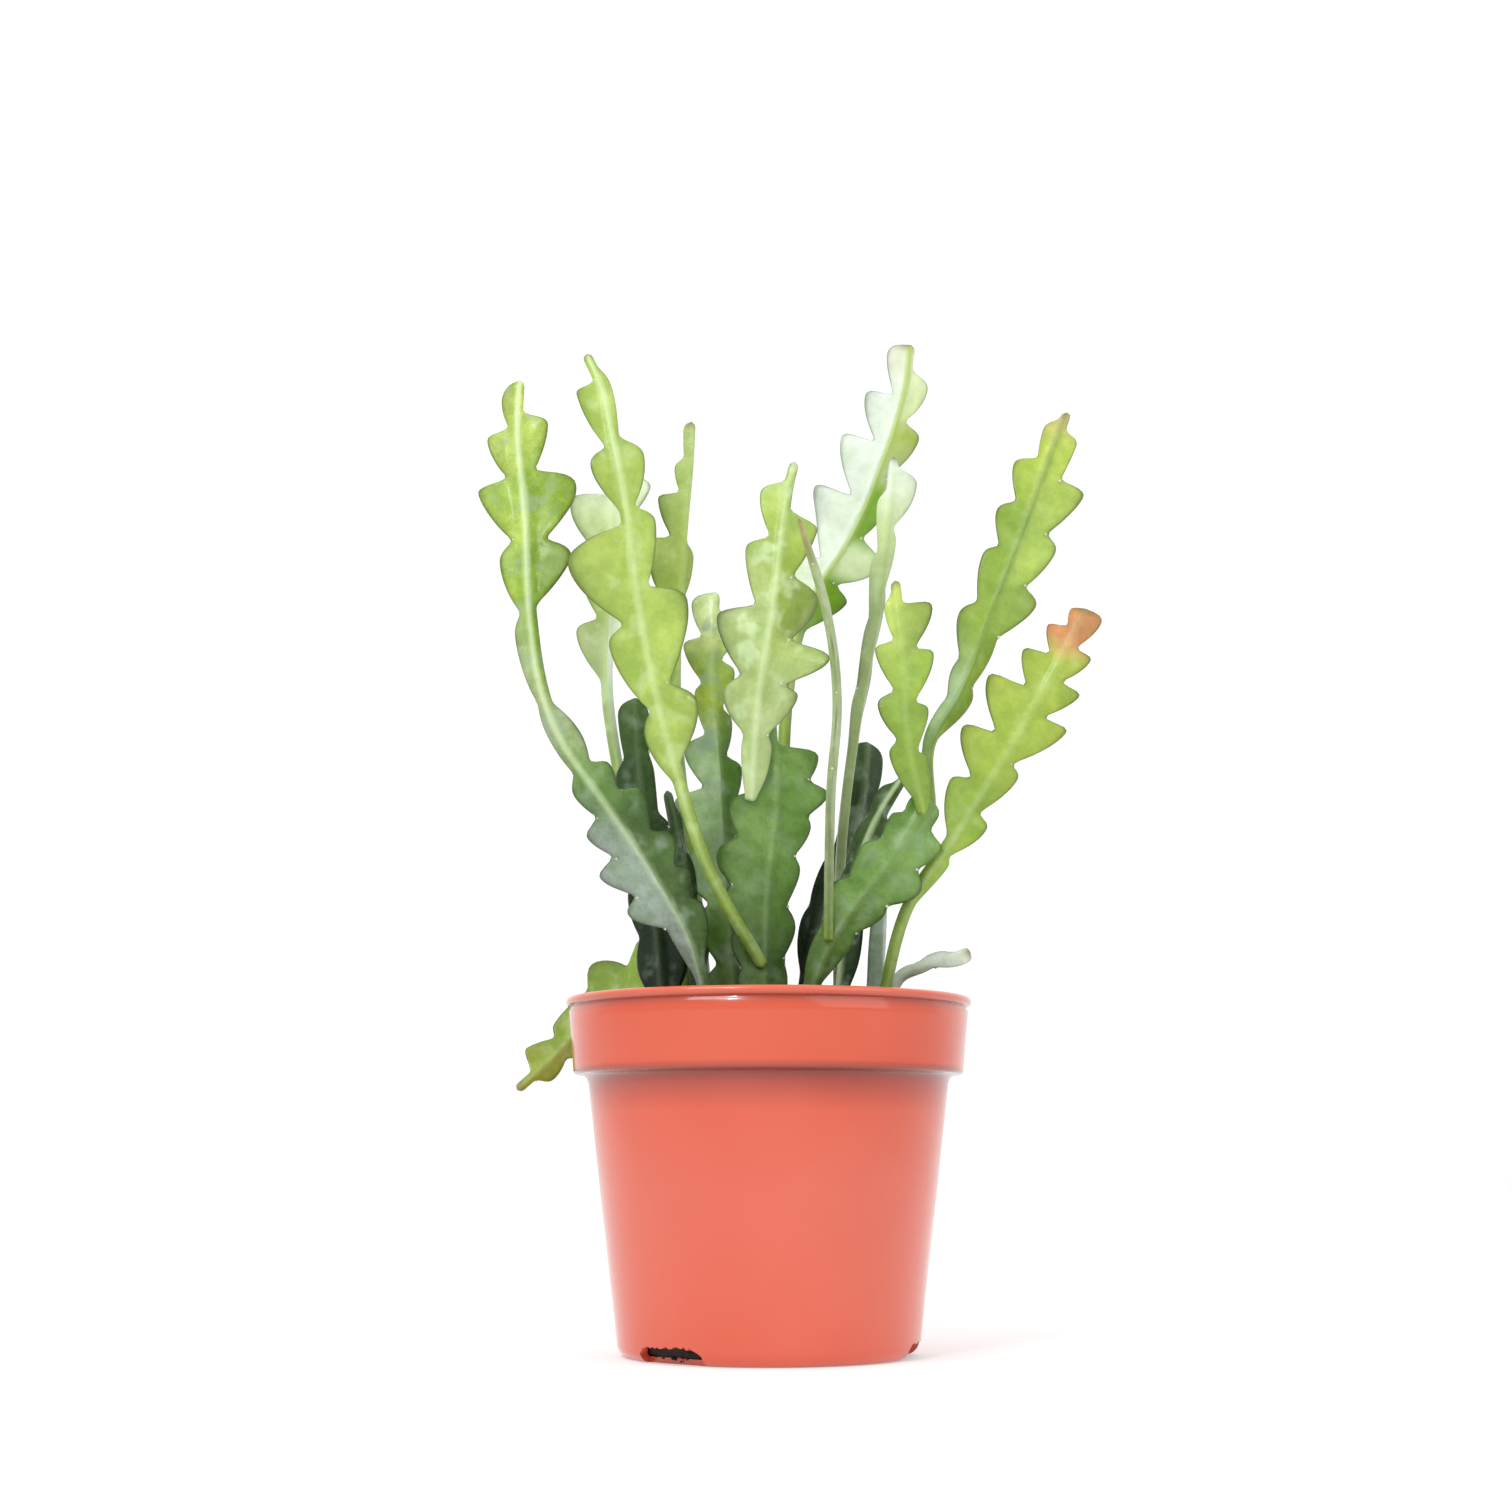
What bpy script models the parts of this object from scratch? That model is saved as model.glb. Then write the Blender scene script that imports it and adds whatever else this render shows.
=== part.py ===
"""A fishbone cactus in a round plastic nursery pot.

The flattened stems zigzag from a pot of soil. Origin: middle of the pot's underside. +Z is up,
-Y is the front. Blender works in metres, and the dimensions below are millimetres.
"""
import math
from collections import namedtuple

import bpy
from mathutils import Vector

MM = 0.001
GAP = 0.3                     # clearance between neighbouring pieces

# Pot: outside radii and heights
POT_HEIGHT = 103.0
LIP_RADIUS = 60.0
LIP_HEIGHT = 2.4
COLLAR_TOP_RADIUS = 59.0
COLLAR_FOOT_RADIUS = 57.5
COLLAR_FOOT_Z = 80.5
BODY_TOP_RADIUS = 53.0
BODY_TOP_Z = 78.0
BODY_FOOT_RADIUS = 44.0
CORNER_RADIUS = 4.0
WALL = 1.3
FLOOR = 1.6
TURN_STEPS = 48               # flats around the pot
CORNER_STEPS = 3

# Drain slots through the bottom corner
SLOT_ANGLES = (-40, 80, 200)  # degrees from the front towards +X
SLOT_LENGTH = 23.0
SLOT_HEIGHT = 5.0
SLOT_DEPTH = 12.0

# Soil
SOIL_Z = 92.0                 # surface at the wall
SOIL_CROWN = 1.5              # how much higher the middle lies
SOCKET_RISE = 5.0             # how far a socket's cutter stands above the soil
SOCKET_DROP = 1.0             # how far a socket goes on below its stem's foot

# Stems
STATION = 4.0                 # spacing of a stem's cross-sections
CURVE_STEPS = 16              # curve points between two path points
MARGIN_HALF = 0.5             # half thickness of a wing's edge
BEAK_REACH = 1.5              # half width of the bare beak at a stem's tip
BEAK_DROP = 5.0               # past the last lobe the wing narrows to the beak over this length
BEAK_LENGTH = 2.5             # shortest beak; a lobe nearer the tip has none
BARE_GAP = 30.0               # lobes further apart than this have bare stalk between them
LOBE_FOOT = 13.0              # a lobe beside bare stalk rises over this length

Shape = namedtuple("Shape", "stalk rib notch drop")
# stalk: half width where there are no wings. rib: half thickness on the midrib. notch: depth
# left between two lobes at the base and at the tip, as a share of them. drop: where the notch
# sits, as a share of the way to the next lobe.
OLD = Shape(stalk=2.6, rib=1.9, notch=(0.74, 0.66), drop=0.38)
GROWN = Shape(stalk=2.1, rib=1.7, notch=(0.66, 0.28), drop=0.30)
YOUNG = Shape(stalk=1.9, rib=1.4, notch=(0.34, 0.26), drop=0.28)
CURLED = Shape(stalk=1.9, rib=1.4, notch=(0.45, 0.32), drop=0.30)
WAVY = Shape(stalk=1.9, rib=1.4, notch=(0.62, 0.48), drop=0.30)
SLIM = Shape(stalk=1.4, rib=1.2, notch=(0.45, 0.45), drop=0.40)
STUB = Shape(stalk=3.4, rib=2.4, notch=(0.70, 0.70), drop=0.40)

DARK = (0.045, 0.105, 0.040)
GREY = (0.110, 0.170, 0.100)
LIGHT = (0.240, 0.420, 0.050)
PALE = (0.450, 0.600, 0.240)

Stem = namedtuple("Stem", "shape colour facing lean path left right")
# facing: where the flat side looks at the base and at the tip, degrees from -Y towards +X.
# lean: how far each wing's lobes point to the tip. path: the midrib from base to tip. left,
# right: each wing's lobes, as (distance along the midrib, reach). A stem whose path starts below
# the soil's surface is rooted in it.
STEMS = {
    "left_stem": Stem(
        GROWN, DARK, (-15, 10), (0.15, 0.15),
        ((-15, -17, 80), (-17, -19, 97), (-22, -24, 117), (-32, -30, 135), (-45, -36, 154),
         (-58, -40, 172), (-65, -40, 189), (-69, -38, 213), (-71, -34, 240), (-74, -31, 266),
         (-74, -28, 285)),
        ((42, 5), (53, 13), (67, 14), (80, 10), (92, 6), (112, 3), (141, 5), (164, 8), (185, 13),
         (202, 9), (215, 5)),
        ((47, 8), (57, 10), (67, 11), (83, 11), (94, 8), (106, 6), (163, 13), (185, 16),
         (206, 9))),
    "front_shoot": Stem(
        YOUNG, LIGHT, (-15, 8), (0.2, 0.2),
        ((-3, -16, 114), (-17, -30, 138), (-27, -42, 168), (-34, -47, 196), (-38, -49, 219),
         (-41, -49, 242), (-45, -47, 262), (-48, -45, 276), (-53, -43, 288)),
        ((72, 6), (98, 10), (120, 18), (151, 8), (174, 8)),
        ((77, 11), (107, 14), (133, 8), (153, 8), (178, 3))),
    "slim_shoot": Stem(
        YOUNG, LIGHT, (35, 35), (0.2, 0.2),
        ((-17, 15, 80), (-18, 16, 98), (-22, 20, 135), (-28, 24, 182), (-29, 24, 217),
         (-27, 20, 249), (-25, 15, 270), (-24, 12, 285)),
        ((142, 10), (165, 15), (181, 10), (192, 5), (204, 3)),
        ((164, 5),)),
    "back_left_shoot": Stem(
        YOUNG, PALE, (20, -10), (0.2, 0.2),
        ((-45, 16, 167), (-50, 19, 197), (-50, 18, 222), (-49, 14, 254), (-46, 8, 272)),
        ((50, 10), (70, 9), (90, 13)),
        ((62, 11), (80, 13), (98, 11))),
    "centre_shoot": Stem(
        CURLED, LIGHT, (15, -10), (0.2, 0.2),
        ((-5, -17, 163), (-3, -24, 189), (1, -28, 212), (4, -27, 236), (6, -25, 252),
         (8, -24, 261)),
        ((12, 4), (26, 11), (46, 16), (69, 10), (88, 8)),
        ((11, 6), (27, 12), (39, 19), (57, 13), (79, 10))),
    "centre_old": Stem(
        CURLED, DARK, (30, 10), (0.2, 0.2),
        ((-10, -1, 80), (-10, -2, 97), (-13, -4, 138), (-15, -6, 171), (-17, -6, 201),
         (-16, -4, 226)),
        ((27, 8), (45, 11), (62, 12), (80, 13), (96, 10), (113, 6), (127, 9), (141, 7)),
        ((30, 7), (50, 8), (72, 9), (90, 8), (105, 6), (120, 7), (135, 8))),
    "centre_broad": Stem(
        OLD, DARK, (20, 10), (0.2, 0.2),
        ((-2, -11, 80), (-2, -12, 97), (-1, -13, 131), (2, -13, 161), (1, -10, 186)),
        ((25, 8), (37, 10), (48, 13), (60, 16), (75, 14), (91, 8)),
        ((27, 8), (42, 10), (59, 10), (72, 12), (81, 16), (92, 14))),
    "thin_stalk": Stem(
        SLIM, LIGHT, (90, 80), (0.2, 0.2),
        ((17, -24, 121), (18, -30, 158), (20, -32, 187), (17, -34, 213), (9, -34, 241)),
        ((38, 4), (60, 5), (82, 5), (102, 4)),
        ((49, 4), (71, 5), (92, 4))),
    "edge_shoot": Stem(
        YOUNG, PALE, (90, 15), (0.2, 0.2),
        ((20, 9, 80), (21, 10, 98), (22, 9, 146), (27, 6, 188), (34, 3, 228), (39, 1, 270)),
        ((112, 3), (134, 3), (156, 4), (175, 4)),
        ((122, 3), (145, 3), (164, 4), (183, 9))),
    "tall_shoot": Stem(
        YOUNG, PALE, (-30, 12), (0.3, 0.2),
        ((3, 15, 80), (3, 16, 98), (4, 24, 151), (6, 28, 199), (12, 26, 227), (27, 21, 251),
         (37, 14, 275), (43, 10, 295), (45, 6, 308)),
        ((137, 4), (157, 11), (181, 17), (201, 15), (217, 12), (234, 8)),
        ((156, 10), (171, 12), (191, 7), (211, 9), (226, 8))),
    "right_tall_shoot": Stem(
        WAVY, LIGHT, (25, -15), (0.2, 0.5),
        ((47, -25, 160), (47, -25, 175), (56, -26, 191), (65, -24, 213), (75, -20, 237),
         (83, -16, 258), (91, -12, 280)),
        ((26, 3), (37, 5), (53, 9), (74, 9), (90, 10), (107, 10), (122, 5)),
        ((30, 5), (46, 5), (63, 12), (81, 11), (100, 13), (118, 6))),
    "right_inner_shoot": Stem(
        YOUNG, LIGHT, (10, -10), (0.2, 0.5),
        ((44, -30, 157), (40, -35, 175), (39, -36, 198), (37, -34, 222)),
        ((15, 6), (28, 8), (44, 8), (57, 4)),
        ((10, 5), (24, 7), (40, 9), (53, 10))),
    "right_low_shoot": Stem(
        YOUNG, LIGHT, (25, -8), (0.15, 0.5),
        ((32, -7, 80), (33, -8, 97), (40, -16, 127), (55, -24, 150), (67, -27, 169),
         (78, -30, 187), (86, -30, 201), (93, -28, 215)),
        ((88, 10), (102, 15), (119, 16), (132, 11), (143, 8), (151, 4)),
        ((65, 4), (79, 7), (96, 7), (113, 12), (125, 10), (136, 8), (149, 6))),
    "right_front_old": Stem(
        OLD, DARK, (20, 0), (0.2, 0.2),
        ((9, -13, 80), (10, -14, 97), (19, -19, 120), (34, -26, 140), (47, -27, 159)),
        ((39, 5), (52, 9), (67, 9), (80, 7), (87, 5)),
        ((41, 6), (53, 9), (65, 13), (79, 11), (87, 5))),
    "back_right_old": Stem(
        OLD, DARK, (30, 30), (0.2, 0.2),
        ((9, 15, 80), (10, 16, 98), (16, 22, 132), (27, 26, 160), (31, 26, 185)),
        ((45, 6), (64, 5), (84, 5), (102, 6)),
        ((47, 8), (66, 9), (82, 9), (103, 7))),
    "back_right_ribbed": Stem(
        OLD, DARK, (-40, -30), (0.2, 0.2),
        ((21, -1, 80), (21, -1, 97), (25, 2, 133), (32, 3, 154), (41, 2, 170)),
        ((57, 6), (73, 6), (86, 5)),
        ((39, 6), (59, 8), (75, 7))),
    "cut_stub": Stem(
        STUB, GREY, (45, 45), (0.2, 0.2),
        ((31, -3, 80), (31, -4, 97), (33, -6, 131)),
        (),
        ()),
    "left_back_old": Stem(
        OLD, DARK, (-20, -10), (0.2, 0.2),
        ((-31, 7, 80), (-31, 8, 98), (-34, 12, 131), (-38, 12, 165), (-41, 10, 196)),
        ((35, 8), (54, 9), (72, 9), (89, 9), (111, 6)),
        ((35, 9), (54, 9), (72, 8), (92, 4), (110, 4))),
    "small_old": Stem(
        OLD, DARK, (30, 30), (0.2, 0.2),
        ((-20, -3, 80), (-20, -4, 97), (-24, -6, 132), (-30, -10, 164)),
        ((52, 5), (69, 4)),
        ((42, 6), (60, 4), (75, 3))),
    "trailing_shoot": Stem(
        WAVY, LIGHT, (0, 0), (0.2, 0.2),
        ((-37, 24, 80), (-37, 24, 98), (-39, 27, 104), (-44, 32, 105.6), (-50, 38, 105.5),
         (-55, 42, 103), (-59, 43, 98), (-63, 41, 92), (-68, 36, 86), (-73, 31, 81), (-77, 27, 77)),
        ((62, 6), (74, 5)),
        ((28, 20), (40, 12), (58, 7), (73, 8))),
    "pale_sprout": Stem(
        SLIM, PALE, (0, 0), (0.6, 0.6),
        ((35, 12, 80), (36, 11, 98), (39, 9, 109), (46, 5, 113), (54, 2, 115), (60, 0, 117)),
        ((33, 2), (43, 3)),
        ((37, 2), (50, 3))),
}


def new_collection(name):
    """A new collection in the scene."""
    collection = bpy.data.collections.new(name)
    bpy.context.scene.collection.children.link(collection)
    return collection


def new_object(name, mesh, collection, location=(0, 0, 0)):
    """An object for a mesh, at a location in millimetres."""
    piece = bpy.data.objects.new(name, mesh)
    piece.location = Vector(location) * MM
    collection.objects.link(piece)
    return piece


def give_material(piece, colour, roughness):
    """The piece's own non-metal material."""
    material = bpy.data.materials.new(piece.name)
    material.use_nodes = True
    shader = material.node_tree.nodes["Principled BSDF"]
    shader.inputs["Base Color"].default_value = (*colour, 1)
    shader.inputs["Roughness"].default_value = roughness
    shader.inputs["Metallic"].default_value = 0
    piece.data.materials.append(material)


def hide_cutter(cutter):
    """Mark an object as a cutter, which is no part of the plant."""
    cutter.hide_render = True
    cutter.display_type = "WIRE"


def cut(piece, cutter):
    """Subtract a cutter from a piece."""
    boolean = piece.modifiers.new(cutter.name, "BOOLEAN")
    boolean.operation = "DIFFERENCE"
    boolean.solver = "EXACT"
    boolean.object = cutter


def turn(name, profile, collection):
    """A turned solid. The profile starts and ends on the axis, its outer side running down."""
    mesh = bpy.data.meshes.new(name)
    edges = [(i, i + 1) for i in range(len(profile) - 1)]
    mesh.from_pydata([(radius * MM, 0, z * MM) for radius, z in profile], edges, [])
    piece = new_object(name, mesh, collection)
    screw = piece.modifiers.new("Turn", "SCREW")
    screw.steps = TURN_STEPS
    screw.render_steps = TURN_STEPS
    screw.use_merge_vertices = True
    screw.merge_threshold = 0.00001
    return piece


def corner(centre_radius, centre_z, radius):
    """The pot's bottom corner as an arc, from the wall down to the floor."""
    steps = range(CORNER_STEPS + 1)
    turns = [math.pi / 2 * step / CORNER_STEPS for step in steps]
    return [(centre_radius + radius * math.cos(a), centre_z - radius * math.sin(a)) for a in turns]


def make_pot(collection, cutters):
    """The moulded pot: lip, collar, step, tapered body and slotted bottom corner."""
    corner_centre = BODY_FOOT_RADIUS - CORNER_RADIUS
    outside = [
        (LIP_RADIUS - 0.4, POT_HEIGHT),
        (LIP_RADIUS, POT_HEIGHT - 0.5),
        (LIP_RADIUS, POT_HEIGHT - LIP_HEIGHT),
        (COLLAR_TOP_RADIUS, POT_HEIGHT - LIP_HEIGHT - 0.4),
        (COLLAR_FOOT_RADIUS, COLLAR_FOOT_Z + 0.8),
        (COLLAR_FOOT_RADIUS - 0.8, COLLAR_FOOT_Z),
        (BODY_TOP_RADIUS + 0.8, COLLAR_FOOT_Z - 0.6),
        (BODY_TOP_RADIUS, BODY_TOP_Z),
    ]
    outside += corner(corner_centre, CORNER_RADIUS, CORNER_RADIUS)
    outside += [(0, 0)]
    inside = [
        (0, FLOOR),
        (corner_centre, FLOOR),
        (BODY_FOOT_RADIUS - WALL, CORNER_RADIUS + FLOOR),
        (BODY_TOP_RADIUS - WALL, BODY_TOP_Z),
        (COLLAR_FOOT_RADIUS - WALL, COLLAR_FOOT_Z + WALL),
        (COLLAR_TOP_RADIUS - WALL, POT_HEIGHT - 0.4),
        (COLLAR_TOP_RADIUS - WALL + 0.4, POT_HEIGHT),
    ]
    pot = turn("pot", inside + outside, collection)
    for number, angle in enumerate(SLOT_ANGLES, start=1):
        bpy.ops.mesh.primitive_cube_add(size=1)
        cutter = bpy.context.object
        cutter.name = f"drain_slot_cutter_{number}"
        cutter.scale = (SLOT_LENGTH * MM, SLOT_DEPTH * MM, 2 * SLOT_HEIGHT * MM)
        around = math.radians(angle)
        reach = BODY_FOOT_RADIUS * MM
        cutter.location = (reach * math.sin(around), -reach * math.cos(around), 0)
        cutter.rotation_euler = (0, 0, around)
        for holder in list(cutter.users_collection):
            holder.objects.unlink(cutter)
        cutters.objects.link(cutter)
        hide_cutter(cutter)
        cut(pot, cutter)
    give_material(pot, (0.76, 0.17, 0.09), 0.3)
    return pot


def make_soil(collection):
    """The soil that fills the pot, with a low crown in the middle."""
    corner_centre = BODY_FOOT_RADIUS - CORNER_RADIUS
    inset = WALL + GAP
    collar_share = (SOIL_Z - COLLAR_FOOT_Z) / (POT_HEIGHT - COLLAR_FOOT_Z)
    rim = COLLAR_FOOT_RADIUS + (COLLAR_TOP_RADIUS - COLLAR_FOOT_RADIUS) * collar_share
    profile = [
        (0, SOIL_Z + SOIL_CROWN),
        (rim * 0.5, SOIL_Z + SOIL_CROWN * 0.7),
        (rim - inset - 1.0, SOIL_Z),
        (rim - inset, SOIL_Z - 1.0),
        (COLLAR_FOOT_RADIUS - inset, COLLAR_FOOT_Z + WALL + GAP),
        (BODY_TOP_RADIUS - inset, BODY_TOP_Z + GAP),
        (BODY_FOOT_RADIUS - inset, CORNER_RADIUS + FLOOR + GAP),
        (corner_centre - GAP, FLOOR + GAP),
        (0, FLOOR + GAP),
    ]
    soil = turn("soil", profile, collection)
    give_material(soil, (0.030, 0.018, 0.010), 0.95)
    return soil


def curve_point(before, start, end, after, share):
    """A point on the smooth (Catmull-Rom) curve between start and end."""
    straight = (end - before) * share
    square = (2 * before - 5 * start + 4 * end - after) * share ** 2
    cube = (3 * start - before - 3 * end + after) * share ** 3
    return start + 0.5 * (straight + square + cube)


def even_path(points, spacing):
    """Evenly spaced points on a smooth curve through the points, and their spacing."""
    knots = [Vector(point) for point in points]
    knots = [2 * knots[0] - knots[1], *knots, 2 * knots[-1] - knots[-2]]
    fine = []
    for before, start, end, after in zip(knots, knots[1:], knots[2:], knots[3:]):
        shares = [step / CURVE_STEPS for step in range(CURVE_STEPS)]
        fine += [curve_point(before, start, end, after, share) for share in shares]
    fine.append(knots[-2])
    walked = [0.0]
    for start, end in zip(fine, fine[1:]):
        walked.append(walked[-1] + (end - start).length)
    count = max(2, round(walked[-1] / spacing))
    spacing = walked[-1] / count
    even = []
    piece = 0
    for number in range(count + 1):
        target = min(number * spacing, walked[-1])
        while piece < len(fine) - 2 and walked[piece + 1] < target:
            piece += 1
        share = (target - walked[piece]) / (walked[piece + 1] - walked[piece])
        even.append(fine[piece].lerp(fine[piece + 1], share))
    return even, spacing


def wing_keys(lobes, shape, length):
    """The turning points of a wing's edge: (distance, reach) at lobes, notches and bare stalk."""
    keys = [(0.0, shape.stalk)]
    last = None
    for distance, reach in lobes:
        if last is None or distance - last[0] > BARE_GAP:
            if last is not None:
                keys.append((last[0] + LOBE_FOOT, shape.stalk))
            if distance - LOBE_FOOT > keys[-1][0]:
                keys.append((distance - LOBE_FOOT, shape.stalk))
        else:
            base_share, tip_share = shape.notch
            depth = base_share + (tip_share - base_share) * distance / length
            notch = max(shape.stalk, depth * (reach + last[1]) / 2)
            place = last[0] + shape.drop * (distance - last[0])
            keys.append((place, min(notch, reach, last[1])))
        keys.append((distance, reach))
        last = (distance, reach)
    if last is None:
        return [(0.0, shape.stalk), (length, shape.stalk)]
    if length - last[0] > BEAK_DROP + BEAK_LENGTH:
        keys.append((last[0] + BEAK_DROP, BEAK_REACH))
    keys.append((length, BEAK_REACH))
    return keys


def wing_reach(keys, distance):
    """The wing's reach at a distance along the midrib, eased between its turning points."""
    for (start, low), (end, high) in zip(keys, keys[1:]):
        if distance <= end:
            share = 0.5 - 0.5 * math.cos(math.pi * (distance - start) / (end - start))
            return low + (high - low) * share
    return keys[-1][1]


def stem_rings(stem, swell=0.0):
    """Cross-sections of a stem: six points each, two edges and the midrib, front and back."""
    points, spacing = even_path(stem.path, STATION)
    last = len(points) - 1
    left = wing_keys(stem.left, stem.shape, last * spacing)
    right = wing_keys(stem.right, stem.shape, last * spacing)
    rings = []
    for number, point in enumerate(points):
        along = (points[min(number + 1, last)] - points[max(number - 1, 0)]).normalized()
        base_angle, tip_angle = stem.facing
        angle = math.radians(base_angle + (tip_angle - base_angle) * number / last)
        side = along.cross(Vector((math.sin(angle), -math.cos(angle), 0))).normalized()
        front = side.cross(along)
        left_lean, right_lean = stem.lean
        slack = min(1.0, 0.5 + (last - number) * 0.25)
        rib = front * (stem.shape.rib * slack + swell)
        edge = front * (MARGIN_HALF + swell)
        left_reach = wing_reach(left, number * spacing) + swell
        right_reach = wing_reach(right, number * spacing) + swell
        left_edge = point + (along * left_lean - side) * left_reach
        right_edge = point + (along * right_lean + side) * right_reach
        rings.append([left_edge + edge, point + rib, right_edge + edge,
                      right_edge - edge, point - rib, left_edge - edge])
    return rings


def skin(name, rings, origin):
    """A closed mesh lofted through the rings, in metres from the origin."""
    around = len(rings[0])
    points = [(point - origin) * MM for ring in rings for point in ring]
    faces = [list(range(around - 1, -1, -1))]
    for lower in range(0, (len(rings) - 1) * around, around):
        for corner_number in range(around):
            following = (corner_number + 1) % around
            faces.append([lower + corner_number, lower + following,
                          lower + around + following, lower + around + corner_number])
    faces.append([len(points) - around + corner_number for corner_number in range(around)])
    mesh = bpy.data.meshes.new(name)
    mesh.from_pydata(points, [], faces)
    mesh.shade_smooth()
    mesh.set_sharp_from_angle(angle=math.radians(40))
    return mesh


def make_stem(name, stem, collection):
    """One flattened stem with its wavy wings."""
    origin = Vector(stem.path[0])
    mesh = skin(name, stem_rings(stem), origin)
    piece = new_object(name, mesh, collection, origin)
    give_material(piece, stem.colour, 0.4)
    return piece


def make_socket_cutter(name, stem, cutters):
    """The hole that a rooted stem stands in: its own foot, a gap larger all round and deeper."""
    rings = stem_rings(stem, swell=GAP)
    top = SOIL_Z + SOCKET_RISE
    rings = [ring for ring in rings if min(point.z for point in ring) < top]
    drop = Vector((0, 0, SOCKET_DROP))
    rings[0] = [point - drop for point in rings[0]]
    origin = Vector(stem.path[0])
    cutter = new_object(f"{name}_socket_cutter", skin(name, rings, origin), cutters, origin)
    hide_cutter(cutter)
    return cutter


def main():
    for old in list(bpy.data.objects):
        bpy.data.objects.remove(old)
    parts = new_collection("potted_fishbone_cactus")
    cutters = new_collection("cutters")
    make_pot(parts, cutters)
    soil = make_soil(parts)
    for name, stem in STEMS.items():
        make_stem(name, stem, parts)
        if stem.path[0][2] < SOIL_Z:
            cut(soil, make_socket_cutter(name, stem, cutters))


main()
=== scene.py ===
import math
import random
from collections import namedtuple

import bpy
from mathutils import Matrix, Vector
from mathutils import noise as noise_field


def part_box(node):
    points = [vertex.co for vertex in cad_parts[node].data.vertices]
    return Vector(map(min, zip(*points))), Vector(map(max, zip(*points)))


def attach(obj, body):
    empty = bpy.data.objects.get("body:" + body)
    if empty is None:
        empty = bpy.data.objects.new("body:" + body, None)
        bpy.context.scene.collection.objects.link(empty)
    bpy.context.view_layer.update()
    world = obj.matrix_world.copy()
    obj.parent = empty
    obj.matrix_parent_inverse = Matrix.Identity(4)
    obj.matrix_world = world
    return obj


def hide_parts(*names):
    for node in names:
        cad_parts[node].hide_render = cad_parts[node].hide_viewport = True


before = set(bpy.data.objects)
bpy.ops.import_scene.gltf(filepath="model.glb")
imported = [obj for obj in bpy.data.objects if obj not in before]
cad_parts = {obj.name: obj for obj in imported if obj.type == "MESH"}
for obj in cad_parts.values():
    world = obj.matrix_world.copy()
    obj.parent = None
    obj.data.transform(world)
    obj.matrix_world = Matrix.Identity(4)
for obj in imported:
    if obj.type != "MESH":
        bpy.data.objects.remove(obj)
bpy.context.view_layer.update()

MM = 0.001

# Camera: level with the middle of the pot, looking up along the stems
CAMERA_DISTANCE = 0.700       # metres in front of the pot's axis
CAMERA_HEIGHT = 0.0565
CAMERA_TILT = math.radians(9.7)
CAMERA_TURN = math.radians(0.3)
CAMERA_LENS = 55.95
SENSOR = 36.0

# Studio: a white backdrop behind the pot and a dimmer room around it
BACKDROP_EDGE = 0.45          # the backdrop starts where a direction's Y passes this
BACKDROP_BLUR = 0.1           # the room fades into the backdrop over this much of Y
BACKDROP_LIGHT = 1.07
ROOM_LIGHT = 0.85
FLOOR_RADIUS = 6.0            # metres
FLOOR_GLOW = 0.32             # keeps the floor as pale as the backdrop
LIGHT_TARGET = (0, 0, 0.17)
LIGHTS = (                    # name, place, side of the square lamp in metres, watts
    ("key_light", (-0.7, -1.0, 1.3), 0.8, 9.0),
    ("fill_light", (1.1, -0.9, 0.8), 1.2, 4.0),
    ("glint_light", (-0.35, -0.9, 0.75), 0.10, 1.6))

# Pot and soil, in millimetres: outside radii and heights, as in the CAD
POT_HEIGHT = 103.0
LIP_RADIUS = 60.0
LIP_BEAD = 1.3                # radius of the rolled lip's edge
COLLAR_TOP_RADIUS = 59.0
COLLAR_FOOT_RADIUS = 57.5
COLLAR_FOOT_Z = 80.5
BODY_TOP_RADIUS = 53.0
BODY_TOP_Z = 78.0
BODY_FOOT_RADIUS = 44.0
CORNER_RADIUS = 4.0
WALL = 1.3
FLOOR = 1.6
RIM_WAVE = 0.12               # how far the rim is from round, in three waves
BODY_WAVE = 0.05              # how far the whole pot is from round, in two waves
TURN_STEPS = 180              # flats around the pot
SLOT_ANGLES = (-40, 80, 200)  # degrees from the front towards +X
SLOT_LENGTH = 23.0
SLOT_HEIGHT = 5.0
SLOT_TEETH = 26               # steps along a slot's torn upper edge
TEAR = (-0.7, 0.3)            # how far that edge is torn down and up
SLOT_INNER_REACH = 38.0       # the slot's cutter spans these distances from the axis
SLOT_OUTER_REACH = 50.0
CUTTER_FOOT = -3.0            # height of the slot cutter's underside
PLASTIC_TOP = 0.105           # height in metres where the shares of PLASTIC_AND_PAINTED_SHADING reach 1
PLASTIC_AND_PAINTED_SHADING = (                   # the plastic's colour from foot to lip; darker under the collar and in the groove below the lip as painted shade, lighter on the lip's top as a painted highlight
    (0.0, (0.62, 0.078, 0.032)), (0.10, (0.63, 0.084, 0.036)), (0.45, (0.62, 0.090, 0.044)),
    (0.66, (0.60, 0.068, 0.020)), (0.745, (0.34, 0.022, 0.004)), (0.765, (0.14, 0.010, 0.002)),
    (0.79, (0.58, 0.056, 0.010)), (0.93, (0.58, 0.056, 0.010)), (0.955, (0.33, 0.035, 0.015)),
    (0.975, (0.70, 0.110, 0.050)))
PLASTIC_CLOUD = (0.84, 0.22, 0.14)
SOIL_Z = 92.0
SOIL_GAP = 0.4                # between the soil and the pot's wall and floor
SOIL_STEPS = 160              # flats around the soil
TOP_CHIPS = 700               # chips and crumbs on the soil's top
SLOT_CRUMBS = 60              # crumbs behind each drain slot
SOIL_BROWN = (0.022, 0.014, 0.009)
SOIL_PITS = (0.004, 0.003, 0.002)
SOIL_TINTS = ((0.020, 0.012, 0.008), (0.045, 0.026, 0.015), (0.090, 0.052, 0.028),
              (0.030, 0.020, 0.014), (0.150, 0.095, 0.055), (0.60, 0.58, 0.54))

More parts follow.
